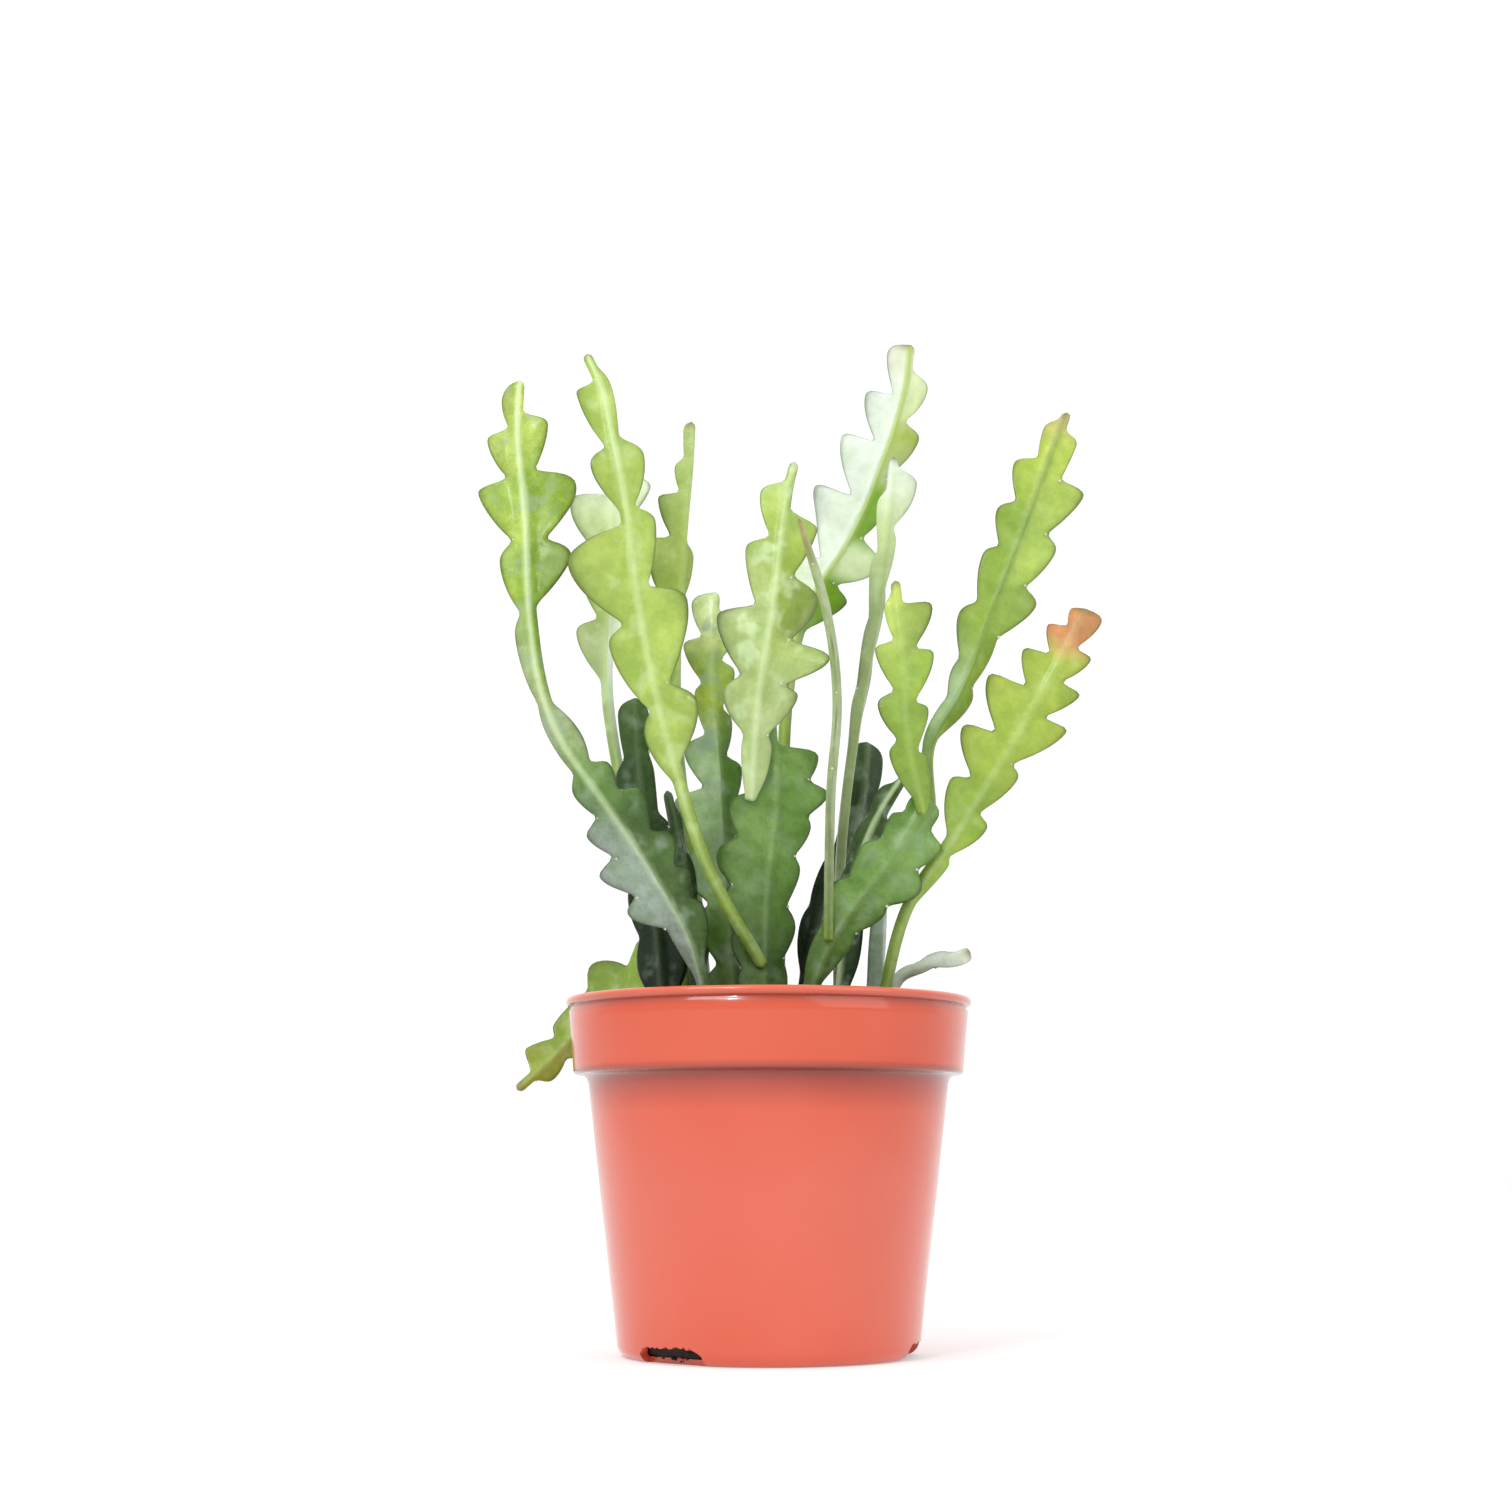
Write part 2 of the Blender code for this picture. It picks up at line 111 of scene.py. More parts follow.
# Stems: lengths in millimetres
STATION = 1.1                 # spacing of a stem's cross-sections
CURVE_STEPS = 24              # curve points between two path points
BEAK_REACH = 1.5              # half width of the bare beak at a stem's tip
BEAK_DROP = 5.0               # past the last lobe the wing narrows to the beak over this length
TIP_ROUND = 2.5               # the tip rounds off over this length
BARE_GAP = 30.0               # lobes further apart than this have bare stalk between them
LOBE_FOOT = 13.0              # a lobe beside bare stalk rises over this length
LOBE_FULLNESS = 0.85          # under 1 makes full lobes with narrow notches
SOFTEN = (1, 2, 1)            # weights that round the wing's edge over neighbouring sections
LOBE_BLEND = 3.0              # two lobes' own bend and painted shade blend over this length
TIP_BLUNT = 0.12              # share of its width and thickness left at a stem's very end
TIP_THIN = 0.55               # share of its thickness that a stem has near its tip
THICKEN_LENGTH = 40.0         # going back from the tip, a whole share is added over this length
FOLD_START = 4.0              # nearer the midrib than this the fold is gentler
WAVE_SCALE = 0.055            # how fast the random bend changes along a stem
WAVE_REACH = 10.0             # this far out the random bend is as large as the shape's wave
OWN_BEND = 0.4                # a lobe's own bend beside the random one
RIPPLE = 1.2                  # height of an even ripple, this far out:
RIPPLE_REACH = 12.0
RIPPLE_RATE = 0.33            # radians of the ripple per millimetre of stem
ACROSS = (0.0, 0.05, 0.12, 0.22, 0.36, 0.54, 0.72, 0.86, 0.95, 1.0)
RIDGE_WIDTH = 1.7             # width of the midrib's ridge
RIB_BAND = 1.1                # half width of the midrib's own colour
RIB_SHARE = 0.45              # that colour also ends at this share of a narrow wing
EDGE_REACH = 5.0              # wings narrower than this show less of the dark edge
DRY_LENGTH = 3.0              # the tip of a shoot is dry and brown over this length
VEIN_HEIGHT = 0.28            # ridges that run from the midrib to the notches
VEIN_WIDTH = 1.3
SINK = 3.0                    # a shoot's base goes on this far into its parent stem
AREOLE_SIZE = 0.42            # radius of the woolly tuft in a notch
AREOLE_LIFT = 0.1             # how far outside the notch the tuft's middle stands
BRISTLES = 3
BRISTLE_LENGTH = 1.5
BRISTLE_WIDTH = 0.07

Shape = namedtuple("Shape", "stalk rib web notch drop wave")
# stalk: half width where there are no wings. rib, web: half thickness on the midrib and of a
# wing. notch: depth left between two lobes at the base and at the tip, as a share of them.
# drop: where the notch sits, as a share of the way to the next lobe. wave: how far the lobes
# bend to the front and the back.
OLD = Shape(stalk=2.6, rib=1.5, web=0.85, notch=(0.74, 0.66), drop=0.38, wave=1.8)
GROWN = Shape(stalk=2.1, rib=1.4, web=0.70, notch=(0.66, 0.28), drop=0.30, wave=2.2)
YOUNG = Shape(stalk=1.9, rib=1.1, web=0.55, notch=(0.34, 0.26), drop=0.28, wave=2.2)
CURLED = Shape(stalk=1.9, rib=1.1, web=0.55, notch=(0.45, 0.32), drop=0.30, wave=5.5)
WAVY = Shape(stalk=1.9, rib=1.1, web=0.60, notch=(0.62, 0.48), drop=0.30, wave=1.8)
SLIM = Shape(stalk=1.4, rib=0.9, web=0.50, notch=(0.45, 0.45), drop=0.40, wave=1.2)
STUB = Shape(stalk=3.4, rib=1.6, web=0.90, notch=(0.70, 0.70), drop=0.40, wave=0.5)

# Stem colours, linear; some also serve as painted light on certain wings, as noted at those stems
BLACK_GREEN = (0.009, 0.022, 0.007)
DEEP = (0.030, 0.066, 0.018)
DARK = (0.066, 0.130, 0.028)
MID = (0.150, 0.280, 0.060)
GREY = (0.230, 0.300, 0.215)
BLUE = (0.360, 0.520, 0.260)
LEAF = (0.235, 0.370, 0.038)
LIGHT = (0.355, 0.488, 0.085)
SPRING = (0.420, 0.550, 0.190)
LIME = (0.385, 0.500, 0.062)
PALE = (0.560, 0.680, 0.330)
MINT = (0.700, 0.840, 0.500)
WHITE = (0.830, 0.920, 0.810)
SAGE = (0.330, 0.420, 0.190)
ASH = (0.330, 0.420, 0.340)
FROST = (0.840, 0.930, 0.830)
CREAM = (0.760, 0.800, 0.560)
GRASS = (0.190, 0.390, 0.012)
RUST = (0.520, 0.230, 0.080)
BLUSH = (0.480, 0.380, 0.150)
# pale colours of the painted glints on old and young stems
OLD_PAINTED_SHEEN = (0.300, 0.400, 0.290)
YOUNG_PAINTED_SHEEN = (0.620, 0.780, 0.440)
# darkens a wing's rim: partly the margin's own darker colour, partly painted shade on the curled edge
EDGE_SHADE = (0.46, 0.50, 0.38)
DRY_TIP = (0.190, 0.130, 0.050)
WOOL = (0.62, 0.62, 0.48)
MOTTLING = {"old_stem": 1.0, "young_stem": 0.65, "pale_stem": 0.35}
MOTTLES = (                   # waves per metre, and the darkest and lightest tint
    (70, (0.80, 0.86, 0.74), (1.14, 1.09, 1.20)),
    (240, (0.84, 0.88, 0.78), (1.10, 1.07, 1.14)),
    (1100, (0.95, 0.96, 0.92), (1.05, 1.04, 1.08)))

Stem = namedtuple("Stem", "shape slot tones rib sheen facing fold lean path left right")
# tones: colours from base to tip, as (share of the length, colour) or, where the wings differ,
# (share, left colour, right colour), on some stems painted light and shade. rib: the midrib's
# colour and its strength at the base and at the tip. sheen: how strong the pale painted glints are.
# facing: where the flat side looks at the base and at the tip, degrees from -Y towards +X.
# fold: how far the left and right wings bend forward, degrees. lean: how far each wing's lobes
# point to the tip. path: the midrib. left, right: each wing's lobes, as (distance along the
# midrib, reach).
STEMS = {
    "left_stem": Stem(
        GROWN, "old_stem",
        # the lower blade's grey left wing is a painted reflection, and the upper left wing is painted
        # lighter than the right as light falling on it
        ((0.0, DEEP), (0.10, GREY, DARK), (0.26, ASH, DARK), (0.36, GREY, DARK), (0.42, MID),
         (0.50, SAGE), (0.60, SAGE, LEAF), (0.68, LEAF), (0.80, LIGHT, LEAF), (0.9, LIGHT), (1.0, LIME)),
        (MINT, 0.15, 0.60), 0.45, (-15, 10), (-10, 10), (0.15, 0.15),
        ((-15, -17, 80), (-17, -19, 97), (-22, -24, 117), (-32, -30, 135), (-45, -36, 154),
         (-58, -40, 172), (-65, -40, 189), (-69, -38, 213), (-71, -34, 240), (-74, -31, 266),
         (-74, -28, 285)),
        ((42, 5), (53, 13), (67, 14), (80, 10), (92, 6), (112, 3), (141, 5), (164, 8), (185, 13),
         (202, 9), (215, 5)),
        ((47, 8), (57, 10), (67, 11), (83, 11), (94, 8), (106, 6), (163, 13), (185, 16),
         (206, 9))),
    "front_shoot": Stem(
        YOUNG, "young_stem", ((0.0, LEAF), (0.4, LIGHT), (1.0, LIGHT)),
        (MINT, 0.1, 0.40), 0.22, (-15, 8), (12, -8), (0.2, 0.2),
        ((-3, -16, 114), (-17, -30, 138), (-27, -42, 168), (-34, -47, 196), (-38, -49, 219),
         (-41, -49, 242), (-45, -47, 262), (-48, -45, 276), (-53, -43, 288)),
        ((72, 6), (98, 10), (120, 18), (151, 8), (174, 8)),
        ((77, 11), (107, 14), (133, 8), (153, 8), (178, 3))),
    "slim_shoot": Stem(
        YOUNG, "young_stem", ((0.0, DARK), (0.4, LEAF), (0.8, LIGHT), (1.0, SPRING)),
        (PALE, 0.1, 0.2), 0.2, (35, 35), (0, 0), (0.2, 0.2),
        ((-17, 15, 80), (-18, 16, 98), (-22, 20, 135), (-28, 24, 182), (-29, 24, 217),
         (-27, 20, 249), (-25, 15, 270), (-24, 12, 285)),
        ((142, 10), (165, 15), (181, 10), (192, 5), (204, 3)),
        ((164, 5),)),
    "back_left_shoot": Stem(
        # the white on the right wing near the middle is a painted highlight
        YOUNG, "pale_stem", ((0.0, LEAF), (0.45, PALE, WHITE), (0.6, LIGHT, PALE), (0.8, PALE),
                             (1.0, WHITE)),
        (MINT, 0.3, 0.3), 0.5, (20, -10), (20, 0), (0.2, 0.2),
        ((-45, 16, 167), (-50, 19, 197), (-50, 18, 222), (-49, 14, 254), (-46, 8, 272)),
        ((50, 10), (70, 9), (90, 13)),
        ((62, 11), (80, 13), (98, 11))),
    "centre_shoot": Stem(
        CURLED, "young_stem",
        ((0.0, PALE), (0.35, SPRING), (0.55, SPRING, LIGHT), (0.8, LIGHT), (1.0, SPRING)),
        (MINT, 0.5, 0.15), 0.6, (15, -10), (14, -14), (0.2, 0.2),
        ((-5, -17, 163), (-3, -24, 189), (1, -28, 212), (4, -27, 236), (6, -25, 252),
         (8, -24, 261)),
        ((12, 4), (26, 11), (46, 16), (69, 10), (88, 8)),
        ((11, 6), (27, 12), (39, 19), (57, 13), (79, 10))),
    "centre_old": Stem(
        CURLED, "old_stem", ((0.0, DARK), (0.30, MID, DARK), (0.40, BLUE, MID), (0.68, BLUE, MID),
                             (0.76, LIME), (1.0, PALE)),
        (MINT, 0.1, 0.2), 0.8, (30, 10), (0, 0), (0.2, 0.2),
        ((-10, -1, 80), (-10, -2, 97), (-13, -4, 138), (-15, -6, 171), (-17, -6, 201),
         (-16, -4, 226)),
        ((27, 8), (45, 11), (62, 12), (80, 13), (96, 10), (113, 6), (127, 9), (141, 7)),
        ((30, 7), (50, 8), (72, 9), (90, 8), (105, 6), (120, 7), (135, 8))),
    "centre_broad": Stem(
        OLD, "old_stem", ((0.0, MID), (0.3, DARK), (0.6, MID), (1.0, MID)),
        (MINT, 0.05, 0.1), 0.2, (20, 10), (6, -6), (0.2, 0.2),
        ((-2, -11, 80), (-2, -12, 97), (-1, -13, 131), (2, -13, 161), (1, -10, 186)),
        ((25, 8), (37, 10), (48, 13), (60, 16), (75, 14), (91, 8)),
        ((27, 8), (42, 10), (59, 10), (72, 12), (81, 16), (92, 14))),
    "thin_stalk": Stem(
        SLIM, "young_stem",
        ((0.0, LEAF), (0.15, SAGE, LEAF), (0.3, SAGE, BLUSH), (0.85, SAGE, BLUSH), (1.0, BLUSH)),
        (PALE, 0.05, 0.1), 0.1, (90, 80), (0, 0), (0.2, 0.2),
        ((17.4, -21.8, 121), (18, -30, 158), (20, -32, 187), (17, -34, 213), (9, -34, 241)),
        ((38, 4), (60, 5), (82, 5), (102, 4)),
        ((49, 4), (71, 5), (92, 4))),
    "edge_shoot": Stem(
        YOUNG, "pale_stem", ((0.0, DARK), (0.25, SAGE), (0.75, SAGE), (0.88, PALE), (1.0, FROST)),
        (LEAF, 0.15, 0.2), 0.2, (90, 15), (0, 0), (0.2, 0.2),
        ((20, 9, 80), (21, 10, 98), (22, 9, 146), (27, 6, 188), (34, 3, 228), (39, 1, 270)),
        ((112, 3), (134, 3), (156, 4), (175, 4)),
        ((122, 3), (145, 3), (164, 4), (183, 9))),
    "tall_shoot": Stem(
        YOUNG, "pale_stem",
        # the near-white left wing is painted light, and the right wing's green and pale bands are
        # painted shade and light
        ((0.0, DARK), (0.45, LEAF), (0.56, PALE), (0.60, MINT, GRASS), (0.67, FROST, GRASS),
         (0.69, FROST, MINT), (0.72, FROST, MINT), (0.74, FROST, GRASS), (0.80, FROST, GRASS),
         (0.83, FROST, PALE), (0.88, FROST, LIME), (0.91, FROST, PALE), (1.0, CREAM)),
        (LIGHT, 0.6, 0.8), 0.1, (-30, 12), (16, -20), (0.3, 0.2),
        ((3, 15, 80), (3, 16, 98), (4, 24, 151), (6, 28, 199), (12, 26, 227), (27, 21, 251),
         (37, 14, 275), (43, 10, 295), (45, 6, 308)),
        ((137, 4), (157, 11), (181, 17), (201, 15), (217, 12), (234, 8)),
        ((156, 10), (171, 12), (191, 7), (211, 9), (226, 8))),
    "right_tall_shoot": Stem(
        WAVY, "young_stem",
        ((0.0, LEAF), (0.25, BLUE, LEAF), (0.4, LEAF), (0.7, LEAF, LIGHT), (0.9, LIME), (1.0, BLUSH)),
        (DARK, 0.3, 0.35), 0.08, (25, -15), (8, -8), (0.2, 0.5),
        ((47, -25, 160), (47, -25, 175), (56, -26, 191), (65, -24, 213), (75, -20, 237),
         (83, -16, 258), (91, -12, 280)),
        ((26, 3), (37, 5), (53, 9), (74, 9), (90, 10), (107, 10), (122, 5)),
        ((30, 5), (46, 5), (63, 12), (81, 11), (100, 13), (118, 6))),
    "right_inner_shoot": Stem(
        YOUNG, "young_stem", ((0.0, LEAF), (0.4, LEAF), (0.8, LIGHT), (1.0, LIME)),
        (PALE, 0.1, 0.1), 0.05, (10, -10), (8, -8), (0.2, 0.5),
        ((44, -30, 157), (40, -35, 175), (39, -36, 198), (37, -34, 222)),
        ((15, 6), (28, 8), (44, 8), (57, 4)),
        ((10, 5), (24, 7), (40, 9), (53, 10))),
    "right_low_shoot": Stem(
        YOUNG, "young_stem",
        ((0.0, DARK), (0.3, LEAF), (0.5, LEAF), (0.87, LIME), (0.92, RUST), (1.0, RUST)),
        (PALE, 0.3, 0.1), 0.12, (25, -8), (8, -8), (0.15, 0.5),
        ((32, -7, 80), (33, -8, 97), (40, -16, 127), (55, -24, 150), (67, -27, 169),
         (78, -30, 187), (86, -30, 201), (93, -28, 215)),
        ((88, 10), (102, 15), (119, 16), (132, 11), (143, 8), (151, 4)),
        ((65, 4), (79, 7), (96, 7), (113, 12), (125, 10), (136, 8), (149, 6))),
    "right_front_old": Stem(
        OLD, "old_stem", ((0.0, DARK), (0.2, DARK), (0.6, MID), (1.0, MID)),
        (MINT, 0.1, 0.05), 0.25, (20, 0), (6, -6), (0.2, 0.2),
        ((9, -13, 80), (10, -14, 97), (19, -19, 120), (34, -26, 140), (47, -27, 159)),
        ((39, 5), (52, 9), (67, 9), (80, 7), (87, 5)),
        ((41, 6), (53, 9), (65, 13), (79, 11), (87, 5))),
    "back_right_old": Stem(
        OLD, "old_stem", ((0.0, BLACK_GREEN), (0.5, BLACK_GREEN), (1.0, DEEP)),
        (MINT, 0.05, 0.1), 0.3, (30, 30), (0, 0), (0.2, 0.2),
        ((9, 15, 80), (10, 16, 98), (16, 22, 132), (27, 26, 160), (31, 26, 185)),
        ((45, 6), (64, 5), (84, 5), (102, 6)),
        ((47, 8), (66, 9), (82, 9), (103, 7))),
    "back_right_ribbed": Stem(
        OLD, "old_stem", ((0.0, BLACK_GREEN), (0.5, DEEP), (1.0, DARK)),
        (MINT, 0.5, 0.6), 0.6, (-40, -30), (0, 0), (0.2, 0.2),
        ((21, -1, 80), (21, -1, 97), (25, 2, 133), (32, 3, 154), (41, 2, 170)),
        ((57, 6), (73, 6), (86, 5)),
        ((39, 6), (59, 8), (75, 7))),
    "cut_stub": Stem(
        STUB, "old_stem", ((0.0, DARK), (0.3, ASH), (1.0, ASH)),
        (GREY, 0.1, 0.1), 0.7, (45, 45), (0, 0), (0.2, 0.2),
        ((31, -3, 80), (31, -4, 97), (33, -6, 131)),
        (),
        ()),
    "left_back_old": Stem(
        OLD, "old_stem", ((0.0, BLACK_GREEN), (0.4, BLACK_GREEN), (0.7, DEEP), (1.0, DARK)),
        (MINT, 0.05, 0.05), 0.25, (-20, -10), (0, 0), (0.2, 0.2),
        ((-31, 7, 80), (-31, 8, 98), (-34, 12, 131), (-38, 12, 165), (-41, 10, 196)),
        ((35, 8), (54, 9), (72, 9), (89, 9), (111, 6)),
        ((35, 9), (54, 9), (72, 8), (92, 4), (110, 4))),
    "small_old": Stem(
        OLD, "old_stem", ((0.0, DEEP), (1.0, DEEP)),
        (MINT, 0.05, 0.05), 0.3, (30, 30), (0, 0), (0.2, 0.2),
        ((-20, -3, 80), (-20, -4, 97), (-24, -6, 132), (-30, -10, 164)),
        ((52, 5), (69, 4)),
        ((42, 6), (60, 4), (75, 3))),
    "trailing_shoot": Stem(
        WAVY, "young_stem", ((0.0, LEAF), (0.5, LEAF), (1.0, LIGHT)),
        (PALE, 0.2, 0.2), 0.2, (0, 0), (0, 0), (0.2, 0.2),
        ((-37, 24, 80), (-37, 24, 98), (-39, 27, 104), (-44, 32, 105.6), (-50, 38, 105.5),
         (-55, 42, 103), (-59, 43, 98), (-63, 41, 92), (-68, 36, 86), (-73, 31, 81), (-77, 27, 77)),
        ((62, 6), (74, 5)),
        ((28, 20), (40, 12), (58, 7), (73, 8))),
    "pale_sprout": Stem(
        SLIM, "pale_stem", ((0.0, PALE), (0.4, WHITE), (1.0, WHITE)),
        (PALE, 0.1, 0.1), 0.3, (0, 0), (0, 0), (0.6, 0.6),
        ((35, 12, 80), (36, 11, 98), (39, 9, 109), (46, 5, 113), (54, 2, 115), (60, 0, 117)),
        ((33, 2), (43, 3)),
        ((37, 2), (50, 3))),
}


# -------- helpers

def add_object(name, mesh):
    """An object for a mesh, linked to the scene."""
    piece = bpy.data.objects.new(name, mesh)
    bpy.context.scene.collection.objects.link(piece)
    return piece


def finish_piece(piece, slot, *nodes):
    """The piece rides on the one body and stands for its CAD nodes; slot is not used."""
    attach(piece, "root")
    if nodes:
        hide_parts(*nodes)


class Shader:
    """Short forms for building a Principled material's nodes."""

    def __init__(self, name):
        self.material = bpy.data.materials.new(name)
        self.material.use_nodes = True
        self.nodes = self.material.node_tree.nodes
        self.links = self.material.node_tree.links
        self.surface = self.nodes["Principled BSDF"]
        self.place = self.nodes.new("ShaderNodeTexCoord").outputs["Object"]

    def set(self, **values):
        """Set constant values straight on the shader's own sockets."""
        for name, value in values.items():
            self.surface.inputs[name.replace("_", " ")].default_value = value

    def link(self, source, target):
        """Join an output socket to an input socket."""
        self.links.new(source, target)

    def noise(self, scale, detail=3.0):
        """A noise value over the surface; scale is in waves per metre."""
        node = self.nodes.new("ShaderNodeTexNoise")
        node.inputs["Scale"].default_value = scale
        node.inputs["Detail"].default_value = detail
        node.inputs["Roughness"].default_value = 0.55
        self.link(self.place, node.inputs["Vector"])
        return node.outputs["Fac"]

    def cells(self, scale):
        """Distance to the nearest of many scattered points."""
        node = self.nodes.new("ShaderNodeTexVoronoi")
        node.inputs["Scale"].default_value = scale
        self.link(self.place, node.inputs["Vector"])
        return node.outputs["Distance"]

    def attribute(self, name, output="Fac"):
        """A value or a colour that the mesh holds at its points."""
        node = self.nodes.new("ShaderNodeAttribute")
        node.attribute_name = name
        return node.outputs[output]

    def ramp(self, value, *stops):
        """A colour ramp over a value; each stop is (position, colour)."""
        node = self.nodes.new("ShaderNodeValToRGB")
        elements = node.color_ramp.elements
        while len(elements) < len(stops):
            elements.new(0.5)
        for element, (position, colour) in zip(elements, stops):
            element.position = position
            element.color = (*colour, 1)
        self.link(value, node.inputs["Fac"])
        return node.outputs["Color"]

    def fit(self, value, low, high, new_low=0.0, new_high=1.0):
        """The value moved from one range to another, with soft ends."""
        node = self.nodes.new("ShaderNodeMapRange")
        node.interpolation_type = "SMOOTHSTEP"
        for name, number in (("From Min", low), ("From Max", high),
                             ("To Min", new_low), ("To Max", new_high)):
            node.inputs[name].default_value = number
        self.link(value, node.inputs["Value"])
        return node.outputs["Result"]

    def math(self, operation, first, second):
        """A sum on two values; each is a socket or a number."""
        node = self.nodes.new("ShaderNodeMath")
        node.operation = operation
        for socket, value in zip(node.inputs, (first, second)):
            if isinstance(value, (int, float)):
                socket.default_value = value
            else:
                self.link(value, socket)
        return node.outputs["Value"]

    def mix(self, share, first, second, blend="MIX"):
        """Two colours mixed by a share; each colour is a socket or an RGB triple."""
        node = self.nodes.new("ShaderNodeMix")
        node.data_type = "RGBA"
        node.blend_type = blend
        sockets = [socket for socket in node.inputs if socket.type == "RGBA"]
        for socket, value in zip(sockets, (first, second)):
            if isinstance(value, tuple):
                socket.default_value = (*value, 1)
            else:
                self.link(value, socket)
        if isinstance(share, (int, float)):
            node.inputs["Factor"].default_value = share
        else:
            self.link(share, node.inputs["Factor"])
        return next(socket for socket in node.outputs if socket.type == "RGBA")

    def colour(self, socket):
        """Take the surface's colour from a socket."""
        self.link(socket, self.surface.inputs["Base Color"])

    def rough(self, socket):
        """Take the surface's roughness from a socket."""
        self.link(socket, self.surface.inputs["Roughness"])

    def bump(self, height, distance, strength=1.0, under=None):
        """A bump of the given height in metres, over another bump if one is given."""
        node = self.nodes.new("ShaderNodeBump")
        node.inputs["Distance"].default_value = distance
        node.inputs["Strength"].default_value = strength
        self.link(height, node.inputs["Height"])
        if under is not None:
            self.link(under, node.inputs["Normal"])
        self.link(node.outputs["Normal"], self.surface.inputs["Normal"])
        return node.outputs["Normal"]


# -------- stems

def curve_point(before, start, end, after, share):
    """A point on the smooth (Catmull-Rom) curve between start and end."""
    straight = (end - before) * share
    square = (2 * before - 5 * start + 4 * end - after) * share ** 2
    cube = (3 * start - before - 3 * end + after) * share ** 3
    return start + 0.5 * (straight + square + cube)


def even_path(points, spacing):
    """Evenly spaced points on a smooth curve through the points, and their spacing."""
    knots = [Vector(point) for point in points]
    knots = [2 * knots[0] - knots[1], *knots, 2 * knots[-1] - knots[-2]]
    fine = []
    for before, start, end, after in zip(knots, knots[1:], knots[2:], knots[3:]):
        shares = [step / CURVE_STEPS for step in range(CURVE_STEPS)]
        fine += [curve_point(before, start, end, after, share) for share in shares]
    fine.append(knots[-2])
    walked = [0.0]
    for start, end in zip(fine, fine[1:]):
        walked.append(walked[-1] + (end - start).length)
    count = max(2, round(walked[-1] / spacing))
    spacing = walked[-1] / count
    even = []
    piece = 0
    for number in range(count + 1):
        target = min(number * spacing, walked[-1])
        while piece < len(fine) - 2 and walked[piece + 1] < target:
            piece += 1
        share = (target - walked[piece]) / (walked[piece + 1] - walked[piece])
        even.append(fine[piece].lerp(fine[piece + 1], share))
    return even, spacing


def wing_keys(lobes, shape, length):
    """The turning points of a wing's edge: (distance, reach) at lobes, notches and bare stalk.

    The notches come back too, because that is where the areoles sit.
    """
    keys = [(0.0, shape.stalk)]
    notches = []
    last = None
    for distance, reach in lobes:
        if last is None or distance - last[0] > BARE_GAP:
            if last is not None:
                keys.append((last[0] + LOBE_FOOT, shape.stalk))
            if distance - LOBE_FOOT > keys[-1][0]:
                keys.append((distance - LOBE_FOOT, shape.stalk))
        else:
            base_share, tip_share = shape.notch
            depth = base_share + (tip_share - base_share) * distance / length
            notch = max(shape.stalk, depth * (reach + last[1]) / 2)
            notch = (last[0] + shape.drop * (distance - last[0]), min(notch, reach, last[1]))
            keys.append(notch)
            notches.append(notch)
        keys.append((distance, reach))
        last = (distance, reach)
    if last is None:
        return [(0.0, shape.stalk), (length, shape.stalk)], notches
    if length - last[0] > BEAK_DROP + TIP_ROUND:
        notches.append((last[0] + BEAK_DROP, BEAK_REACH))
        keys.append(notches[-1])
    keys.append((length, BEAK_REACH))
    return keys, notches


def wing_reach(keys, distance):
    """The wing's reach at a distance along the midrib: full round lobes and narrow notches."""
    for (start, low), (end, high) in zip(keys, keys[1:]):
        if distance <= end:
            share = (distance - start) / (end - start)
            if high < low:
                return high + (low - high) * math.cos(math.pi / 2 * share) ** LOBE_FULLNESS
            return low + (high - low) * math.sin(math.pi / 2 * share) ** LOBE_FULLNESS
    return keys[-1][1]


def soft_reaches(keys, count, spacing):
    """The wing's reach at every section, with its corners rounded."""
    sharp = [wing_reach(keys, number * spacing) for number in range(count)]
    middle = len(SOFTEN) // 2
    soft = []
    for number in range(count):
        near = [sharp[min(max(number + step - middle, 0), count - 1)]
                for step in range(len(SOFTEN))]
        soft.append(sum(w * reach for w, reach in zip(SOFTEN, near)) / sum(SOFTEN))
    return soft


def stem_frames(stem):
    """Along a stem: its centre points and, at each, the directions along, sideways and front."""
    path = [Vector(point) for point in stem.path]
    rooted = path[0].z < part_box("soil")[1][2] / MM
    if not rooted:
        path[0] = path[0] - (path[1] - path[0]).normalized() * SINK
    points, spacing = even_path(path, STATION)
    last = len(points) - 1
    frames = []
    for number, point in enumerate(points):
        along = (points[min(number + 1, last)] - points[max(number - 1, 0)]).normalized()
        base_angle, tip_angle = stem.facing
        angle = math.radians(base_angle + (tip_angle - base_angle) * number / last)
        side = along.cross(Vector((math.sin(angle), -math.cos(angle), 0))).normalized()
        frames.append((point, along, side, side.cross(along)))
    return frames, spacing, 0.0 if rooted else SINK


def lobe_moods(notches, dice):
    """For each lobe of a wing: its painted lightness, how much painted shade its edge has, and its own
    bend.
    """
    return [(dice.uniform(0.84, 1.12), dice.uniform(0.10, 0.50), dice.uniform(-1, 1))
            for _ in range(len(notches) + 1)]


def mood_at(moods, notches, distance):
    """The moods blended smoothly from lobe to lobe at a distance along the midrib."""
    mood = moods[0]
    for (notch, _), following in zip(notches, moods[1:]):
        step = min(1.0, max(0.0, (distance - notch) / LOBE_BLEND + 0.5))
        step = step * step * (3 - 2 * step)
        mood = [a + (b - a) * step for a, b in zip(mood, following)]
    return mood


def tone_at(tones, share, wing):
    """A wing's colour at a share of the stem's length; wing 1 is left and -1 is right."""
    for first, second in zip(tones, tones[1:]):
        if share <= second[0]:
            step = (share - first[0]) / (second[0] - first[0])
            return [a + (b - a) * step for a, b in zip(first[wing], second[wing])]
    return list(tones[-1][wing])


